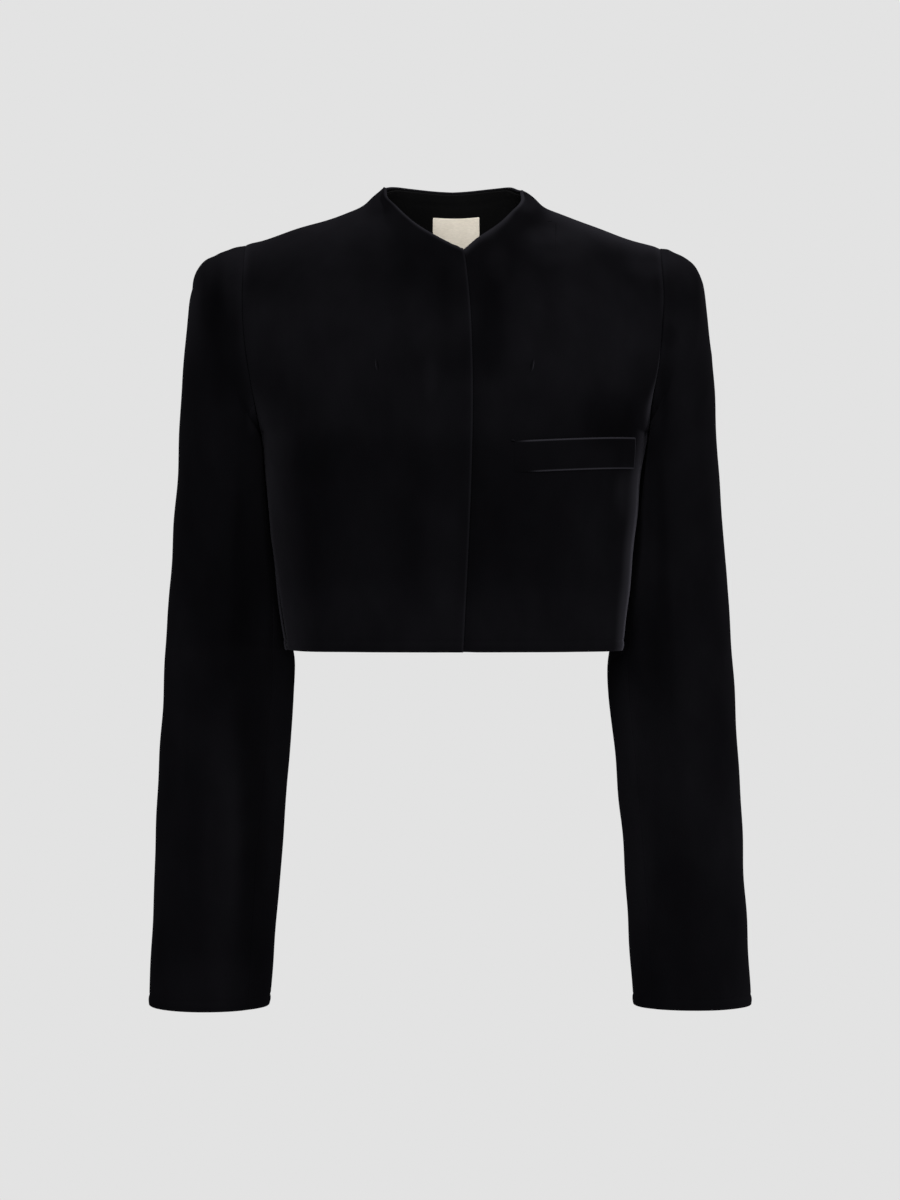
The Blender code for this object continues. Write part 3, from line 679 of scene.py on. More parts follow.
def sleeve_nap_and_light(side, points, outward):
    """Patchy tone of a sleeve with painted light: lighter in the body's shade beside it, a painted
    highlight over the sleeve head and a painted rim light at the outer rim.
    """
    inner = rising(-side * outward[..., 0], INNER_LIGHT_FROM)
    beside = smooth((points[..., 2] - INNER_LIGHT_FOOT) / INNER_LIGHT_FADE)
    head = HEAD_HIGHLIGHT[side] * rising(outward[..., 2], HEAD_HIGHLIGHT_FROM)
    high = smooth((points[..., 2] - SLEEVE_RIM_FOOT) / SLEEVE_RIM_FADE)
    outer = rising(side * outward[..., 0], SLEEVE_RIM_FROM)
    rim = blend(SLEEVE_RIM_LOW[side], SLEEVE_RIM[side], high) * outer
    # Painted light beside the body, painted highlight over the head and painted rim light down the outer
    # side
    turned = INNER_LIGHT[side] * inner * beside + head + rim
    return nap_light_and_shade(points, outward) + at_front(outward) * patches(SLEEVE_NAP_LIGHT_AND_SHADE, points) + turned


def body_nap_and_light(side, points, outward):
    """Patchy tone of a body panel with painted sheen down its side and painted highlights along its side
    edge and over its shoulder.
    """
    x, _, z = parts(points)
    aside = np.abs(outward[..., 0])
    shaded = smooth((z - SIDE_SHADE_FOOT) / (SIDE_SHADE_TOP - SIDE_SHADE_FOOT))
    # Painted highlight at the side edge, raised further where the sleeve casts shade on it
    edge = SIDE_EDGE[side] * (1 + SIDE_SHADE[side] * shaded) * rising(aside, SIDE_EDGE_FROM)
    lit = SIDE_SHEEN[side] * rising(aside, SIDE_SHEEN_FROM[side]) + edge
    low = smooth((SIDE_SHEEN_TOP - z) / (SIDE_SHEEN_TOP - SIDE_SHEEN_FULL))
    # Painted highlight over the top of the shoulder
    above = rising(outward[..., 2], SHOULDER_HIGHLIGHT_FROM[side])
    from_neck = side * (x - BODY_SHIFT) - SHOULDER_HIGHLIGHT_INNER[side]
    above = above * smooth(from_neck / SHOULDER_HIGHLIGHT_FADE)
    return nap_light_and_shade(points, outward) + lit * low + SHOULDER_HIGHLIGHT[side] * above


def rolled_edge_highlight(distance, z):
    """Painted highlight on the low front of the left armhole, where its edge rolls over the sleeve."""
    low = smooth((ROLL_TOP - z) / ROLL_SPREAD) ** 2
    strength = blend(ROLL_HIGHLIGHT, ROLL_HIGHLIGHT_LOW, low) * smooth((ROLL_TOP - z) / ROLL_FADE)
    return strength * painted_highlight(distance, blend(ROLL_WIDTH, ROLL_WIDTH_LOW, low))


def panel_across(face, side, along, height):
    """Share of the half width, where along is 0 at the inner edge, 1 at the neck corner, 2 at the side."""
    z = blend(HEM_Z, POINT_Z, height)
    reach = np.zeros_like(z)
    if face == FRONT:
        reach = lap_edge(z) if side == RIGHT else np.full_like(z, UNDERLAP_X)
    corner = NECK_X / SHOULDER_X
    neck = blend(-reach / body("half_width", z), corner, np.clip(along, 0.0, 1.0))
    shoulder = np.sin(blend(math.asin(corner), math.pi / 2, np.clip(along - 1, 0.0, 1.0)))
    return np.where(along < 1, neck, shoulder)


def underlap_sink(across, height):
    """How far the left front sinks where the right front laps over it."""
    z = blend(HEM_Z, POINT_Z, height)
    x = across * body("half_width", z)
    return (WALL + LAP_CLEARANCE) * smooth((lap_edge(z) + UNDERLAP_FADE - x) / UNDERLAP_FADE)


def panel_points(face, side):
    """Respaced grid of one body panel and its outward directions, before its edges are shaped."""
    along = np.concatenate([np.linspace(0, 1, DENSE_NECK + 1), np.linspace(1, 2, DENSE_SHOULDER + 1)[1:]])
    along, height = np.meshgrid(along, 1 - np.linspace(1, 0, DENSE_ROWS + 1) ** 2, indexing="ij")
    across = panel_across(face, side, along, height)
    points, normal = body_surface(face, side, across, height)
    if face == FRONT and side == LEFT:
        points = points - normal * underlap_sink(across, height)[..., None]
    points, normal = respaced_up(points, normal, BODY_STEPS, FREE_MARGIN, SEWN_MARGIN)
    inner_margin = SEWN_MARGIN if face == BACK else FREE_MARGIN
    neck = respaced(points[:DENSE_NECK + 1], normal[:DENSE_NECK + 1], NECK_STEPS, inner_margin, 0.0)
    rest = respaced(points[DENSE_NECK:], normal[DENSE_NECK:], SHOULDER_STEPS, 0.0, SEWN_MARGIN)
    return np.concatenate([neck[0], rest[0][1:]]), np.concatenate([neck[1], rest[1][1:]])


def panel_nap_and_light(face, side, points, normal, at_neck):
    """Colour of a body panel's velvet: its patchy tone with painted light and painted shade, and painted
    highlights along its edges.
    """
    first, last, low, high = edge_distances(points)
    # Painted highlights along the hem, the neck edge, the armhole and the front edges
    nap_and_light = body_nap_and_light(side, points, normal) + HEM_HIGHLIGHT * painted_highlight(low)
    nap_and_light = nap_and_light + NECK_HIGHLIGHT[side] * at_neck * painted_highlight(high, NECK_HIGHLIGHT_WIDTH[side])
    in_armhole = smooth((points[..., 2] - ARMHOLE_HIGHLIGHT_FOOT[side]) / ARMHOLE_HIGHLIGHT_FADE)
    nap_and_light = nap_and_light + ARMHOLE_HIGHLIGHT[side] * in_armhole * painted_highlight(last, ARMHOLE_HIGHLIGHT_WIDTH)
    if face == FRONT and side == RIGHT:
        nap_and_light = nap_and_light + FRONT_EDGE_HIGHLIGHT * painted_highlight(first)
    if face == FRONT and side == LEFT:
        nap_and_light = nap_and_light + rolled_edge_highlight(last, points[..., 2])
    return nap_and_light


def body_panel(face, side):
    """Grid of one body panel with its seams and edges, its outward directions and its tone with painted
    light and shade.
    """
    points, normal = panel_points(face, side)
    first, last, low, high = edge_distances(points)
    at_neck = smooth((NECK_STEPS + CORNER_BLEND - np.arange(len(points))) / (2 * CORNER_BLEND))[:, None]
    raised = seam(last) + hem(low) + at_neck * turned_edge(high) + (1 - at_neck) * seam(high)
    if face == BACK:
        raised = raised + seam(first)
    elif side == RIGHT:
        raised = raised + turned_edge(first)
    nap_and_light = panel_nap_and_light(face, side, points, normal, at_neck)
    return points + normal * raised[..., None], normal, nap_and_light


def armhole_points(side, places):
    """Armhole points, for places counted from the shoulder down the front and up the back."""
    underarm = (UNDERARM_Z - HEM_Z) / (ridge(FRONT, SHOULDER_X) - HEM_Z)
    up = np.abs(places % (2 * HALF_ROUND) - HALF_ROUND) / HALF_ROUND
    height = blend(underarm, 1.0, (1 - np.cos(math.pi * up)) / 2)
    front = body_point(FRONT, side, np.ones_like(height), height)
    back = body_point(BACK, side, np.ones_like(height), height)
    on_front = (places % (2 * HALF_ROUND) <= HALF_ROUND)[:, None]
    return np.where(on_front, front, back)


def ring_angles(ring):
    """Angle of each armhole point about its middle, 0 at the shoulder and growing to the front."""
    middle_y = (ARMHOLE[BACK] - ARMHOLE[FRONT]) / 2
    middle_z = (SHOULDER_Z + UNDERARM_Z) / 2
    forward = (middle_y - ring[:, 1]) / (ARMHOLE[FRONT] + ARMHOLE[BACK]) * 2
    upward = (ring[:, 2] - middle_z) / (SHOULDER_Z - UNDERARM_Z) * 2
    return np.arctan2(forward, upward)


def fold_depth(angle, z):
    """Inward depth of the long soft folds of a sleeve."""
    depth = np.zeros(np.broadcast(angle, z).shape)
    for row in SLEEVE_FOLDS:
        fold = dict(zip(FOLD_COLUMNS, row))
        apart = (angle - math.radians(fold["angle"]) + math.pi) % (2 * math.pi) - math.pi
        width = bump(apart, math.radians(fold["spread"]))
        length = np.clip((fold["top"] - z) / (fold["top"] - fold["bottom"]), 0.0, 1.0)
        depth = depth + fold["depth"] * width * np.sin(math.pi * length) ** 2
    return depth


def set_back(angle, z):
    """How far the inner front of a sleeve lies back where it passes the side of the body."""
    inner_front = np.clip(-np.cos(angle), 0.0, 1.0) * np.clip(np.sin(angle), 0.0, 1.0)
    beside = smooth((SET_BACK_TOP - z) / SET_BACK_FADE) * smooth((z - SET_BACK_FOOT) / SET_BACK_FADE)
    return SET_BACK * inner_front * beside


def arm_point(side, angle, z):
    """Point on the hanging sleeve at a level, at an angle from its outer line to the front."""
    outer, inner = arm("outer", z), arm("inner", z)
    folded = fold_depth(angle, z)
    x = (outer + inner) / 2 + ((outer - inner) / 2 - folded) * np.cos(angle)
    y = arm("centre", z) - (arm("depth", z) - folded) * np.sin(angle) + set_back(angle, z)
    return np.stack([side * x, y, np.broadcast_to(z, x.shape)], axis=-1)


def clear_of_body(side, points):
    """Push sleeve points out to just clear of the side of the body, between underarm and hem."""
    x, y, z = parts(points)
    x = side * (x - BODY_SHIFT)
    below_hem = np.clip(HEM_Z - z, 0.0, None)
    middle = np.where(y < 0, body("front", z), body("back", z))
    filled = np.clip(1 - np.clip(np.abs(y) / middle, 0.0, 1.0) ** SQUARENESS, 0.0, 1.0)
    wall = body("half_width", np.maximum(z, HEM_Z)) * filled ** (1 / SQUARENESS)
    fade = smooth((UNDERARM_Z - z) / CLEARANCE_FADE)
    limit = blend(body("half_width", z), wall + BODY_CLEARANCE[side], fade) + full_side(side, z) - below_hem
    softness = PUSH_SOFTNESS * smooth((UNDERARM_Z - z) / UNDERARM_HUG)
    over = (limit - x + np.hypot(limit - x, softness)) / 2
    moved = points.copy()
    moved[..., 0] = points[..., 0] + side * over
    return moved


def sleeve_grid(side, places):
    """Whole sleeve: strands from the armhole over the sleeve head, then down to the cuff."""
    ring = armhole_points(side, places)
    angle = ring_angles(ring)
    upness = ((1 + np.cos(angle)) / 2)[:, None]
    outward = np.array([side, 0.0, 0.0])
    down = np.array([0.0, 0.0, -1.0])
    leave = outward + down * blend(HEAD_FALL_UNDER, HEAD_FALL_TOP, upness)
    under = bump(ring[:, 2:] - UNDERARM_Z, UNDERARM_ROOM_REACH[side])
    begin = ring + outward * (SEAM_GAP + UNDERARM_ROOM[side] * under)
    leaving = begin + leave * blend(HEAD_OUT_UNDER, HEAD_OUT_TOP, upness)
    arriving_z = UPPER_ARM_Z + blend(HEAD_DOWN_UNDER, HEAD_DOWN_TOP, upness[:, 0])
    arriving = arm_point(side, angle, arriving_z)
    end = arm_point(side, angle, np.full_like(angle, UPPER_ARM_Z))
    rows = []
    for t in np.linspace(0.0, 1.0, DENSE_HEAD + 1) ** HEAD_SPACING:
        rows.append((1 - t) ** 3 * begin + 3 * t * (1 - t) ** 2 * leaving
                    + 3 * t * t * (1 - t) * arriving + t ** 3 * end)
    for z in np.linspace(UPPER_ARM_Z, CUFF_Z, DENSE_ARM + 1)[1:]:
        rows.append(arm_point(side, angle, np.full_like(angle, z)))
    grid = clear_of_body(side, np.stack(rows, axis=1))
    grid[:, 0] = begin
    return grid, angle


def sleeve_surface(side):
    """Whole sleeve with its creases, round from the front seam, and its outward directions."""
    under = np.linspace(FRONT_SEAM_PLACE, BACK_SEAM_PLACE, DENSE_UNDER + 1)
    top = np.linspace(BACK_SEAM_PLACE, FRONT_SEAM_PLACE + 2 * HALF_ROUND, DENSE_TOP + 1)
    points, angle = sleeve_grid(side, np.concatenate([under[:-1], top[:-1]]))
    around = np.roll(points, -1, axis=0) - np.roll(points, 1, axis=0)
    normal = unit(np.cross(unit(around), unit(np.gradient(points, axis=1)))) * side
    table = [(math.radians(row[0]) * ARM_RADIUS, row[1], math.radians(row[2]) * ARM_RADIUS, *row[3:])
             for row in SLEEVE_CREASES[side]]
    around_arm = angle[:, None] * ARM_RADIUS
    raised = crease_relief(table, around_arm, points[..., 2], 2 * math.pi * ARM_RADIUS)
    raised = raised + wander(points[..., 0] + points[..., 1], points[..., 2])
    low = edge_distances(points)[2]
    upness = (((1 + np.cos(angle)) / 2) ** 2)[:, None]
    rope = ROPE_HEIGHT[side] * upness * bump(low - ROPE_IN, ROPE_WIDTH)
    raised = raised * smooth(low / (2 * ROPE_IN)) + rope
    points = points + normal * raised[..., None]
    at_cuff = smooth(1 - (points[..., 2] - CUFF_Z) / CUFF_DROP_REACH)
    cuff_drop = CUFF_DROP[side] * at_cuff * np.clip(-normal[..., 1], 0.0, 1.0)
    points[..., 2] = points[..., 2] - cuff_drop + shoulder_lift(points)
    return points, normal


def sleeve_pieces(side):
    """Grids of the under and top pieces of a sleeve, with their outward directions and their tone with
    painted light and shade.
    """
    points, normal = sleeve_surface(side)
    ring = np.arange(len(points) + 1) % len(points)
    halves = {"under": (ring[:DENSE_UNDER + 1], UNDER_STEPS), "top": (ring[DENSE_UNDER:], TOP_STEPS)}
    made = {}
    for name, (picks, count) in halves.items():
        piece = respaced(points[picks], normal[picks], count, SEWN_MARGIN, SEWN_MARGIN)
        piece, outward = respaced_up(*piece, SLEEVE_STEPS, SEWN_MARGIN, FREE_MARGIN)
        first, last, low, high = edge_distances(piece)
        raised = seam(first) + seam(last) + seam(low) + hem(high)
        # Painted highlights along the cuff and along the seam of the sleeve head
        nap_and_light = sleeve_nap_and_light(side, piece, outward) + HEM_HIGHLIGHT * painted_highlight(high)
        nap_and_light = nap_and_light + SLEEVE_HEAD_HIGHLIGHT * painted_highlight(low, ARMHOLE_HIGHLIGHT_WIDTH)
        made[name] = piece + outward * raised[..., None], outward, nap_and_light
    return made


def laid_piece(points, normal, counts, wall):
    """Respaced grid of a small piece, with room left for its rounded rim."""
    points, normal = respaced(points, normal, counts[0], wall / 2, wall / 2)
    return respaced_up(points, normal, counts[1], wall / 2, wall / 2)


def height_at(face, side, across, z):
    """Share of the height from hem to top edge of a level."""
    top_z = top_edge(face, side, across * SHOULDER_X)[0]
    return (z - HEM_Z) / (top_z - HEM_Z)


def welt_grid():
    """Broad welt laid on the left front, a little puffed, with its outer end slightly higher."""
    u, v = np.meshgrid(crowded(WELT_STEPS[0]), crowded(WELT_STEPS[1]), indexing="ij")
    z = WELT_TOP_Z + WELT_RISE * u - WELT_HEIGHT * (1 - v)
    across = blend(WELT_INNER_X, WELT_OUTER_X, u) / body("half_width", z)
    points, normal = body_surface(FRONT, LEFT, across, height_at(FRONT, LEFT, across, z))
    puff = WELT_PUFF * (1 - (2 * v - 1) ** WELT_PUFF_POWER)
    lift = blend(WELT_END_LIFT, LAID_GAP + WALL + puff, smooth(u / WELT_END))
    points = points + normal * lift[..., None]
    points, normal = laid_piece(points, normal, WELT_STEPS, WALL)
    first, last, low, high = edge_distances(points)
    # Painted highlights along the welt's foot, top and outer end
    foot = smooth((first - WELT_FOOT_START) / WELT_FADE) * painted_highlight(low, WELT_HIGHLIGHT_WIDTH)
    head = smooth(first / WELT_FADE) * painted_highlight(high, WELT_HIGHLIGHT_WIDTH)
    opened = np.maximum(np.maximum(foot, head), painted_highlight(last, WELT_HIGHLIGHT_WIDTH))
    return points, normal, nap_light_and_shade(points, normal) + WELT_HIGHLIGHT * opened


def facing_grid():
    """Band inside the back neck, from one shoulder seam round to the other, seen from inside."""
    corner = NECK_X / SHOULDER_X
    across, height = np.meshgrid(blend(-corner, corner, crowded(FACING_STEPS[0])),
                                 blend(FACING_FOOT, FACING_HEAD, crowded(FACING_STEPS[1])), indexing="ij")
    points, normal = body_surface(BACK, LEFT, across, height)
    high = edge_distances(points)[3]
    line = FACING_LINE_DEPTH * bump(high - FACING_LINE, FACING_LINE_WIDTH)
    points = points - normal * (WALL + LAID_GAP + FACING_WALL - line)[..., None]
    return laid_piece(points, -normal, FACING_STEPS, FACING_WALL)


def label_grid():
    """Bare woven label on the facing, folded in at its two sides."""
    u, v = np.meshgrid(crowded(LABEL_STEPS[0]), crowded(LABEL_STEPS[1]), indexing="ij")
    z = LABEL_TOP_Z - LABEL_HEIGHT * (1 - v)
    across = (LABEL_X + LABEL_WIDTH * (u - 0.5)) / body("half_width", z)
    points, normal = body_surface(BACK, LEFT, across, height_at(BACK, LEFT, across, z))
    first, last = edge_distances(points)[:2]
    fold = LABEL_FOLD * (bump(first, LABEL_FOLD_WIDTH) + bump(last, LABEL_FOLD_WIDTH))
    depth = WALL + LAID_GAP + FACING_WALL + LAID_GAP + LABEL_WALL + fold
    return laid_piece(points - normal * depth[..., None], -normal, LABEL_STEPS, LABEL_WALL)


def tuck_grid(tuck):
    """Small raised tuck on a front, thin at both ends, its long sides sunk into the cloth."""
    along, across = np.linspace(0, 1, TUCK_STEPS[0] + 1), np.linspace(-1, 1, TUCK_STEPS[1] + 1)
    u, v = np.meshgrid(along, across, indexing="ij")
    taper = np.sin(math.pi * u) ** TUCK_TAPER
    run_x, run_z = tuck["x1"] - tuck["x0"], tuck["z1"] - tuck["z0"]
    aside = v * taper * tuck["width"] / 2 / math.hypot(run_x, run_z)
    x = tuck["x0"] + run_x * u - run_z * aside
    z = tuck["z0"] + run_z * u + run_x * aside
    across = x / body("half_width", z)
    points, normal = body_surface(FRONT, tuck["side"], across, height_at(FRONT, tuck["side"], across, z))
    raised = tuck["height"] * taper * (1 - v * v) - TUCK_SUNK
    # Painted highlight along one long side of the tuck, painted shade along the other
    nap_and_light = nap_light_and_shade(points, normal) + taper * (tuck["painted_highlight"] * smooth(v) - tuck["painted_shade"] * smooth(-v))
    return points + normal * raised[..., None], normal, nap_and_light


# Materials

class Nodes:
    """Short way to add and join a material's nodes."""

    def __init__(self, name):
        self.material = bpy.data.materials.new(name)
        self.material.use_nodes = True
        self.tree = self.material.node_tree
        self.shader = self.tree.nodes["Principled BSDF"]

    def add(self, kind, **values):
        """New node, with its inputs or settings given by name."""
        node = self.tree.nodes.new(kind)
        for name, value in values.items():
            if name in node.inputs:
                node.inputs[name].default_value = value
            else:
                setattr(node, name, value)
        return node

    def join(self, output, target):
        self.tree.links.new(output, target)

    def noise(self, scale, detail, stretch):
        """Noise over the object's own coordinates, stretched by the given factors."""
        place = self.add("ShaderNodeTexCoord")
        mapping = self.add("ShaderNodeMapping")
        mapping.inputs["Scale"].default_value = stretch
        texture = self.add("ShaderNodeTexNoise", Scale=scale, Detail=detail)
        self.join(place.outputs["Object"], mapping.inputs["Vector"])
        self.join(mapping.outputs["Vector"], texture.inputs["Vector"])
        return texture.outputs["Fac"]

    def ramp(self, source, low, high, dark, light):
        """Colour that runs from dark to light while the source runs from low to high."""
        node = self.add("ShaderNodeValToRGB")
        node.color_ramp.elements[0].position = low
        node.color_ramp.elements[1].position = high
        node.color_ramp.elements[0].color = (*dark, 1.0)
        node.color_ramp.elements[1].color = (*light, 1.0)
        self.join(source, node.inputs["Fac"])
        return node.outputs["Color"]

    def multiply(self, one, two):
        """Product of two colours."""
        mix = self.add("ShaderNodeMix", data_type="RGBA", blend_type="MULTIPLY")
        mix.inputs["Factor"].default_value = 1.0
        self.join(one, mix.inputs["A"])
        self.join(two, mix.inputs["B"])
        return mix.outputs["Result"]

    def calculate(self, operation, source, value):
        """Number worked out from a source and a fixed value."""
        node = self.add("ShaderNodeMath", operation=operation)
        node.inputs[1].default_value = value
        self.join(source, node.inputs[0])
        return node.outputs["Value"]

    def bump(self, source, strength, distance, below=None):
        """Relief from a source, on top of another relief where one is given."""
        node = self.add("ShaderNodeBump", Strength=strength, Distance=distance)
        self.join(source, node.inputs["Height"])
        if below is not None:
            self.join(below, node.inputs["Normal"])
        return node.outputs["Normal"]

    def set(self, **values):
        """Set the shader's own inputs, with underscores in place of spaces."""
        for name, value in values.items():
            self.shader.inputs[name.replace("_", " ")].default_value = value


def velvet_material():
    """Black velvet with a cloudy tone, lightened and darkened by the painted light and shade its pieces
    carry: almost no shine face on, a sheen at glancing angles.
    """
    nodes = Nodes("black velvet")
    streaks = nodes.noise(*STREAKS)
    cloudy = nodes.ramp(nodes.noise(*CLOUDS), *CLOUD_TONES)
    base = nodes.multiply(cloudy, nodes.ramp(streaks, *STREAK_TONES))
    # The mesh carries patchy tone with painted light and painted shade, which scales the base colour
    nap_and_light_value = nodes.add("ShaderNodeAttribute", attribute_name="nap_and_light").outputs["Fac"]
    lightness = nodes.calculate("MAXIMUM", nodes.calculate("ADD", nap_and_light_value, 1.0), DARKEST_SHADE_SHARE)
    toned = nodes.add("ShaderNodeVectorMath", operation="SCALE")
    nodes.join(base, toned.inputs["Vector"])
    nodes.join(lightness, toned.inputs["Scale"])
    nodes.join(toned.outputs["Vector"], nodes.shader.inputs["Base Color"])
    brushed = nodes.bump(streaks, *BRUSHED_RELIEF)
    relief = nodes.bump(nodes.noise(*PILE), *PILE_RELIEF, brushed)
    nodes.join(relief, nodes.shader.inputs["Normal"])
    nodes.set(Roughness=0.95, Metallic=0.0, Specular_IOR_Level=0.0)
    nodes.set(Sheen_Weight=0.0034, Sheen_Roughness=0.36, Sheen_Tint=(0.9, 0.87, 1.0, 1.0))
    return nodes.material


def woven_material(name, weave, tones, relief, roughness, shine):
    """Plain dark cloth with a fine close weave."""
    nodes = Nodes(name)
    threads = nodes.noise(*weave)
    nodes.join(nodes.ramp(threads, *tones), nodes.shader.inputs["Base Color"])
    nodes.join(nodes.bump(threads, *relief), nodes.shader.inputs["Normal"])
    nodes.set(Roughness=roughness, Specular_IOR_Level=shine)
    return nodes.material


def inside_material():
    """Inside of the velvet pieces."""
    return woven_material("dark inside", INSIDE_WEAVE, INSIDE_TONES, INSIDE_RELIEF,
                          roughness=0.62, shine=0.06)


def facing_material():
    """Facing inside the back neck."""
    return woven_material("dark facing", FACING_WEAVE, FACING_TONES, FACING_RELIEF,
                          roughness=0.75, shine=0.03)


def label_material():
    """Cream woven label: fine cross threads, slightly uneven in tone."""
    nodes = Nodes("cream label")
    threads = nodes.noise(*LABEL_THREADS)
    base = nodes.ramp(nodes.noise(*LABEL_TONE), *LABEL_TONES)
    toned = nodes.multiply(base, nodes.ramp(threads, *THREAD_TONES))
    nodes.join(toned, nodes.shader.inputs["Base Color"])
    nodes.join(nodes.bump(threads, *LABEL_RELIEF), nodes.shader.inputs["Normal"])
    nodes.set(Roughness=0.6, Specular_IOR_Level=0.25)
    return nodes.material


# Pieces

def rim_directions(points, outward):
    """Directions out of a grid's edge, along the cloth."""
    out = np.zeros_like(points)
    out[0] += unit(points[0] - points[1])
    out[-1] += unit(points[-1] - points[-2])
    out[:, 0] += unit(points[:, 0] - points[:, 1])
    out[:, -1] += unit(points[:, -1] - points[:, -2])
    return out - outward * np.sum(out * outward, axis=-1, keepdims=True)


def grid_faces(numbers):
    """Four-cornered faces of a grid of point numbers."""
    faces = np.stack([numbers[:-1, :-1], numbers[1:, :-1], numbers[1:, 1:], numbers[:-1, 1:]], axis=-1)
    return faces.reshape(-1, 4)


def faces_inward(outer, outward):
    """Whether a grid's faces look against its outward directions, judged at its middle."""
    i, j = outer.shape[0] // 2, outer.shape[1] // 2
    return np.cross(outer[i + 1, j] - outer[i, j], outer[i, j + 1] - outer[i, j]) @ outward[i, j] < 0


def shell_form(outer, outward, wall):
    """Points and faces of a thin closed shell with a rounded rim, and the grid points along that rim.

    The grid's own points and faces come first. Its inside has the second points and the last faces.
    """
    numbers = np.arange(outer.shape[0] * outer.shape[1]).reshape(outer.shape[:2])
    sheet = grid_faces(numbers)
    rim = np.concatenate([numbers[:-1, 0], numbers[-1, :-1], numbers[:0:-1, -1], numbers[0, :0:-1]])
    inner = outer - outward * wall
    middle = ((outer + inner) / 2).reshape(-1, 3)[rim]
    up = outward.reshape(-1, 3)[rim]
    out = rim_directions(outer, outward).reshape(-1, 3)[rim]
    points = [outer.reshape(-1, 3), inner.reshape(-1, 3)]
    loops = [rim]
    for place, turn in enumerate(RIM_TURNS):
        points.append(middle + (up * math.sin(turn) + out * math.cos(turn)) * wall / 2)
        loops.append(2 * numbers.size + place * len(rim) + np.arange(len(rim)))
    loops.append(rim + numbers.size)
    strips = [np.stack([np.roll(above, -1), above, below, np.roll(below, -1)], axis=-1)
              for above, below in zip(loops, loops[1:])]
    quads = np.concatenate([sheet, *strips, sheet[:, ::-1] + numbers.size])
    if faces_inward(outer, outward):
        quads = quads[:, ::-1]
    return np.concatenate(points), quads, rim


def make_shell(name, grid, wall, materials):
    """Shell on a grid, with its tone and painted light and shade where it has them. The last material is
    its inside.
    """
    outer, outward, *nap_and_light = grid
    points, quads, rim = shell_form(outer, outward, wall)
    mesh = bpy.data.meshes.new(name)
    mesh.from_pydata(points.tolist(), [], quads.tolist())
    inside_faces = (outer.shape[0] - 1) * (outer.shape[1] - 1)
    slots = np.zeros(len(quads), dtype=np.int32)
    slots[-inside_faces:] = len(materials) - 1
    for material in materials:
        mesh.materials.append(material)
    mesh.polygons.foreach_set("material_index", slots)
    if nap_and_light:
        # Patchy tone with painted light and painted shade, stored on the points
        tone = nap_and_light[0].ravel()
        tones = np.concatenate([tone, np.zeros_like(tone)] + [tone[rim]] * len(RIM_TURNS))
        mesh.attributes.new("nap_and_light", "FLOAT", "POINT").data.foreach_set("value", tones)
    mesh.shade_smooth()
    piece = bpy.data.objects.new(name, mesh)
    bpy.context.scene.collection.objects.link(piece)
    return piece


def place_piece(piece, node):
    """Put a piece in place of its solid, and hide the solid."""
    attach(piece, "root")
    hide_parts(node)


def build_jacket():
    """All cloth pieces, each in place of its solid, and the small tucks on the fronts."""
    velvet, inside = velvet_material(), inside_material()
    cloth = [velvet, inside]
    for side, word in ((RIGHT, "right"), (LEFT, "left")):
        grids = {"front_" + word: body_panel(FRONT, side), "back_" + word: body_panel(BACK, side)}
        for name, grid in sleeve_pieces(side).items():
            grids["sleeve_" + name + "_" + word] = grid
        for node, grid in grids.items():
            place_piece(make_shell(node + "_cloth", grid, WALL, cloth), node)
    for name, row in TUCKS.items():
        tuck = make_shell(name, tuck_grid(dict(zip(TUCK_COLUMNS, row))), TUCK_WALL, [velvet])
        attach(tuck, "root")
    welt = make_shell("pocket_welt_cloth", welt_grid(), WALL, [velvet])
    place_piece(welt, "pocket_welt")
    facing = make_shell("neck_facing_cloth", facing_grid(), FACING_WALL, [facing_material()])
    place_piece(facing, "neck_facing_back")
    label = make_shell("neck_label_cloth", label_grid(), LABEL_WALL, [label_material()])
    place_piece(label, "neck_label")


# Stage

def make_backdrop():
    """Even pale backdrop, which also fills the light from all round."""
    world = bpy.data.worlds.new("backdrop")
    world.use_nodes = True
    background = world.node_tree.nodes["Background"]
    background.inputs["Color"].default_value = (1.0, 1.0, 1.0, 1.0)
    background.inputs["Strength"].default_value = BACKDROP
    bpy.context.scene.world = world


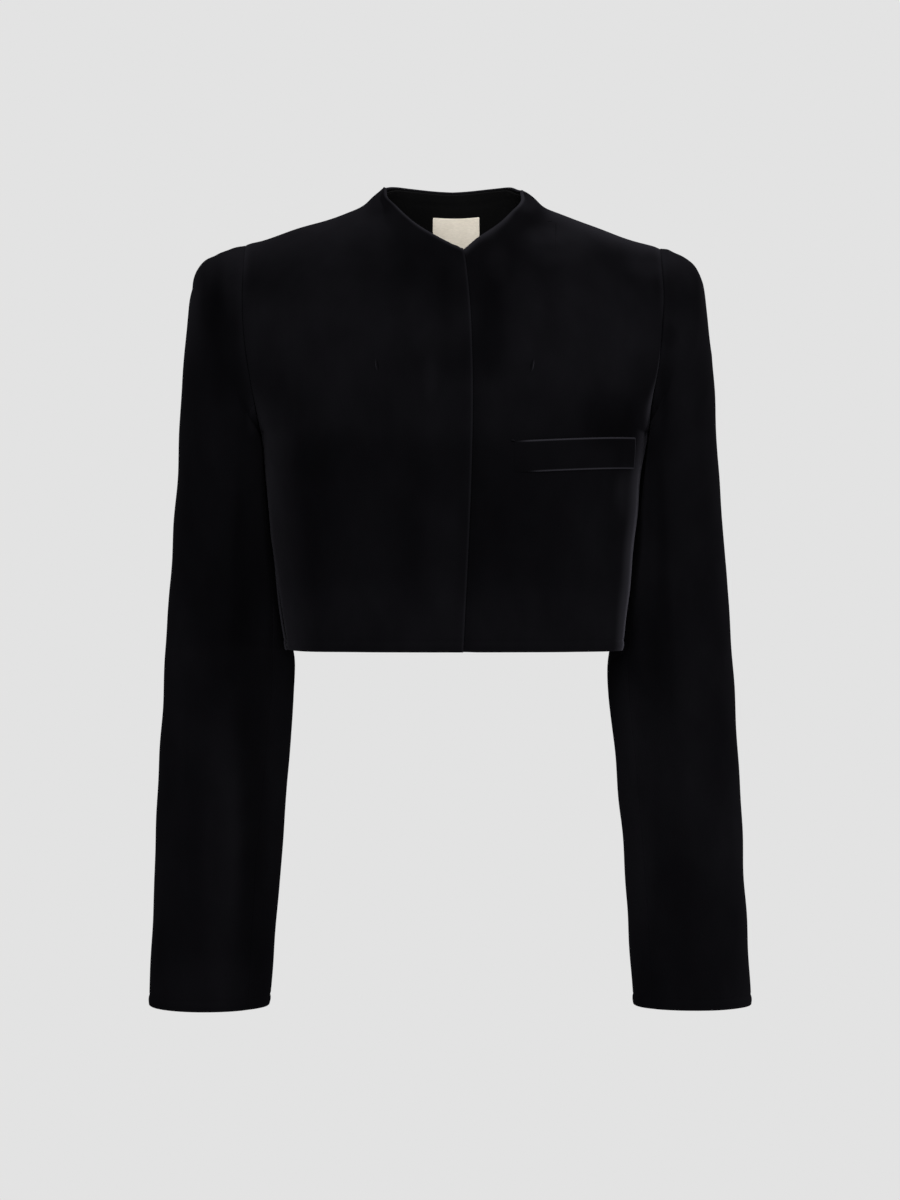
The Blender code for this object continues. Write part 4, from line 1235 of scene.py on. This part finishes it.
def make_floor():
    """Pale round floor far below the jacket, which fades into the backdrop."""
    bpy.ops.mesh.primitive_circle_add(vertices=FLOOR_CORNERS, radius=FLOOR_RADIUS, fill_type="NGON",
                                      location=(0, 0, FLOOR_Z))
    floor = bpy.context.object
    floor.name = "floor"
    nodes = Nodes("pale floor")
    nodes.set(Base_Color=FLOOR_COLOUR, Roughness=0.9, Specular_IOR_Level=0.1)
    place = nodes.add("ShaderNodeTexCoord")
    length = nodes.add("ShaderNodeVectorMath", operation="LENGTH")
    fade = nodes.add("ShaderNodeMapRange", interpolation_type="SMOOTHSTEP")
    fade.inputs["From Min"].default_value = FLOOR_FADE
    fade.inputs["From Max"].default_value = FLOOR_RADIUS
    fade.inputs["To Min"].default_value = 1.0
    fade.inputs["To Max"].default_value = 0.0
    nodes.join(place.outputs["Object"], length.inputs[0])
    nodes.join(length.outputs["Value"], fade.inputs["Value"])
    nodes.join(fade.outputs["Result"], nodes.shader.inputs["Alpha"])
    floor.data.materials.append(nodes.material)


def aim(thing, target):
    """Turn a lamp or camera to look at a point."""
    thing.rotation_euler = (thing.location - Vector(target)).to_track_quat("Z", "Y").to_euler()


def make_lights():
    """Soft lamps all round, aimed at the middle of the jacket."""
    for name, row in LIGHTS.items():
        light = dict(zip(LIGHT_COLUMNS, row))
        lamp = bpy.data.lights.new(name, "AREA")
        lamp.size = light["size"]
        lamp.energy = light["power"]
        thing = bpy.data.objects.new(name, lamp)
        thing.location = light["place"]
        aim(thing, LIGHT_TARGET)
        bpy.context.scene.collection.objects.link(thing)


def make_camera():
    """Camera straight in front, with the photo's frame at the plane of the shoulders."""
    middle_z = (ORIGIN_PIXEL_Y - PHOTO_SIZE[1] / 2) * PIXEL
    view = bpy.data.cameras.new("camera")
    view.sensor_fit = "VERTICAL"
    view.sensor_height = SENSOR
    view.lens = SENSOR * CAMERA_DISTANCE / (PHOTO_SIZE[1] * PIXEL)
    camera = bpy.data.objects.new("camera", view)
    camera.location = (0.0, -CAMERA_DISTANCE, middle_z)
    aim(camera, (0.0, 0.0, middle_z))
    bpy.context.scene.collection.objects.link(camera)
    bpy.context.scene.camera = camera


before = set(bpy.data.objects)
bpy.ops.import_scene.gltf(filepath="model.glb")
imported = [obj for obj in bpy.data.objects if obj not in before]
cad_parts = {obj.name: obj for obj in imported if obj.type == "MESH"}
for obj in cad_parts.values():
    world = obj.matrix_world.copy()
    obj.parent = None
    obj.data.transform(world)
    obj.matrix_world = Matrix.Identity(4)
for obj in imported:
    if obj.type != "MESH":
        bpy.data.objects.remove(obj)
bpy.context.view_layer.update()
make_camera()
make_backdrop()
make_floor()
make_lights()
build_jacket()
bpy.context.scene.view_settings.view_transform = "Standard"
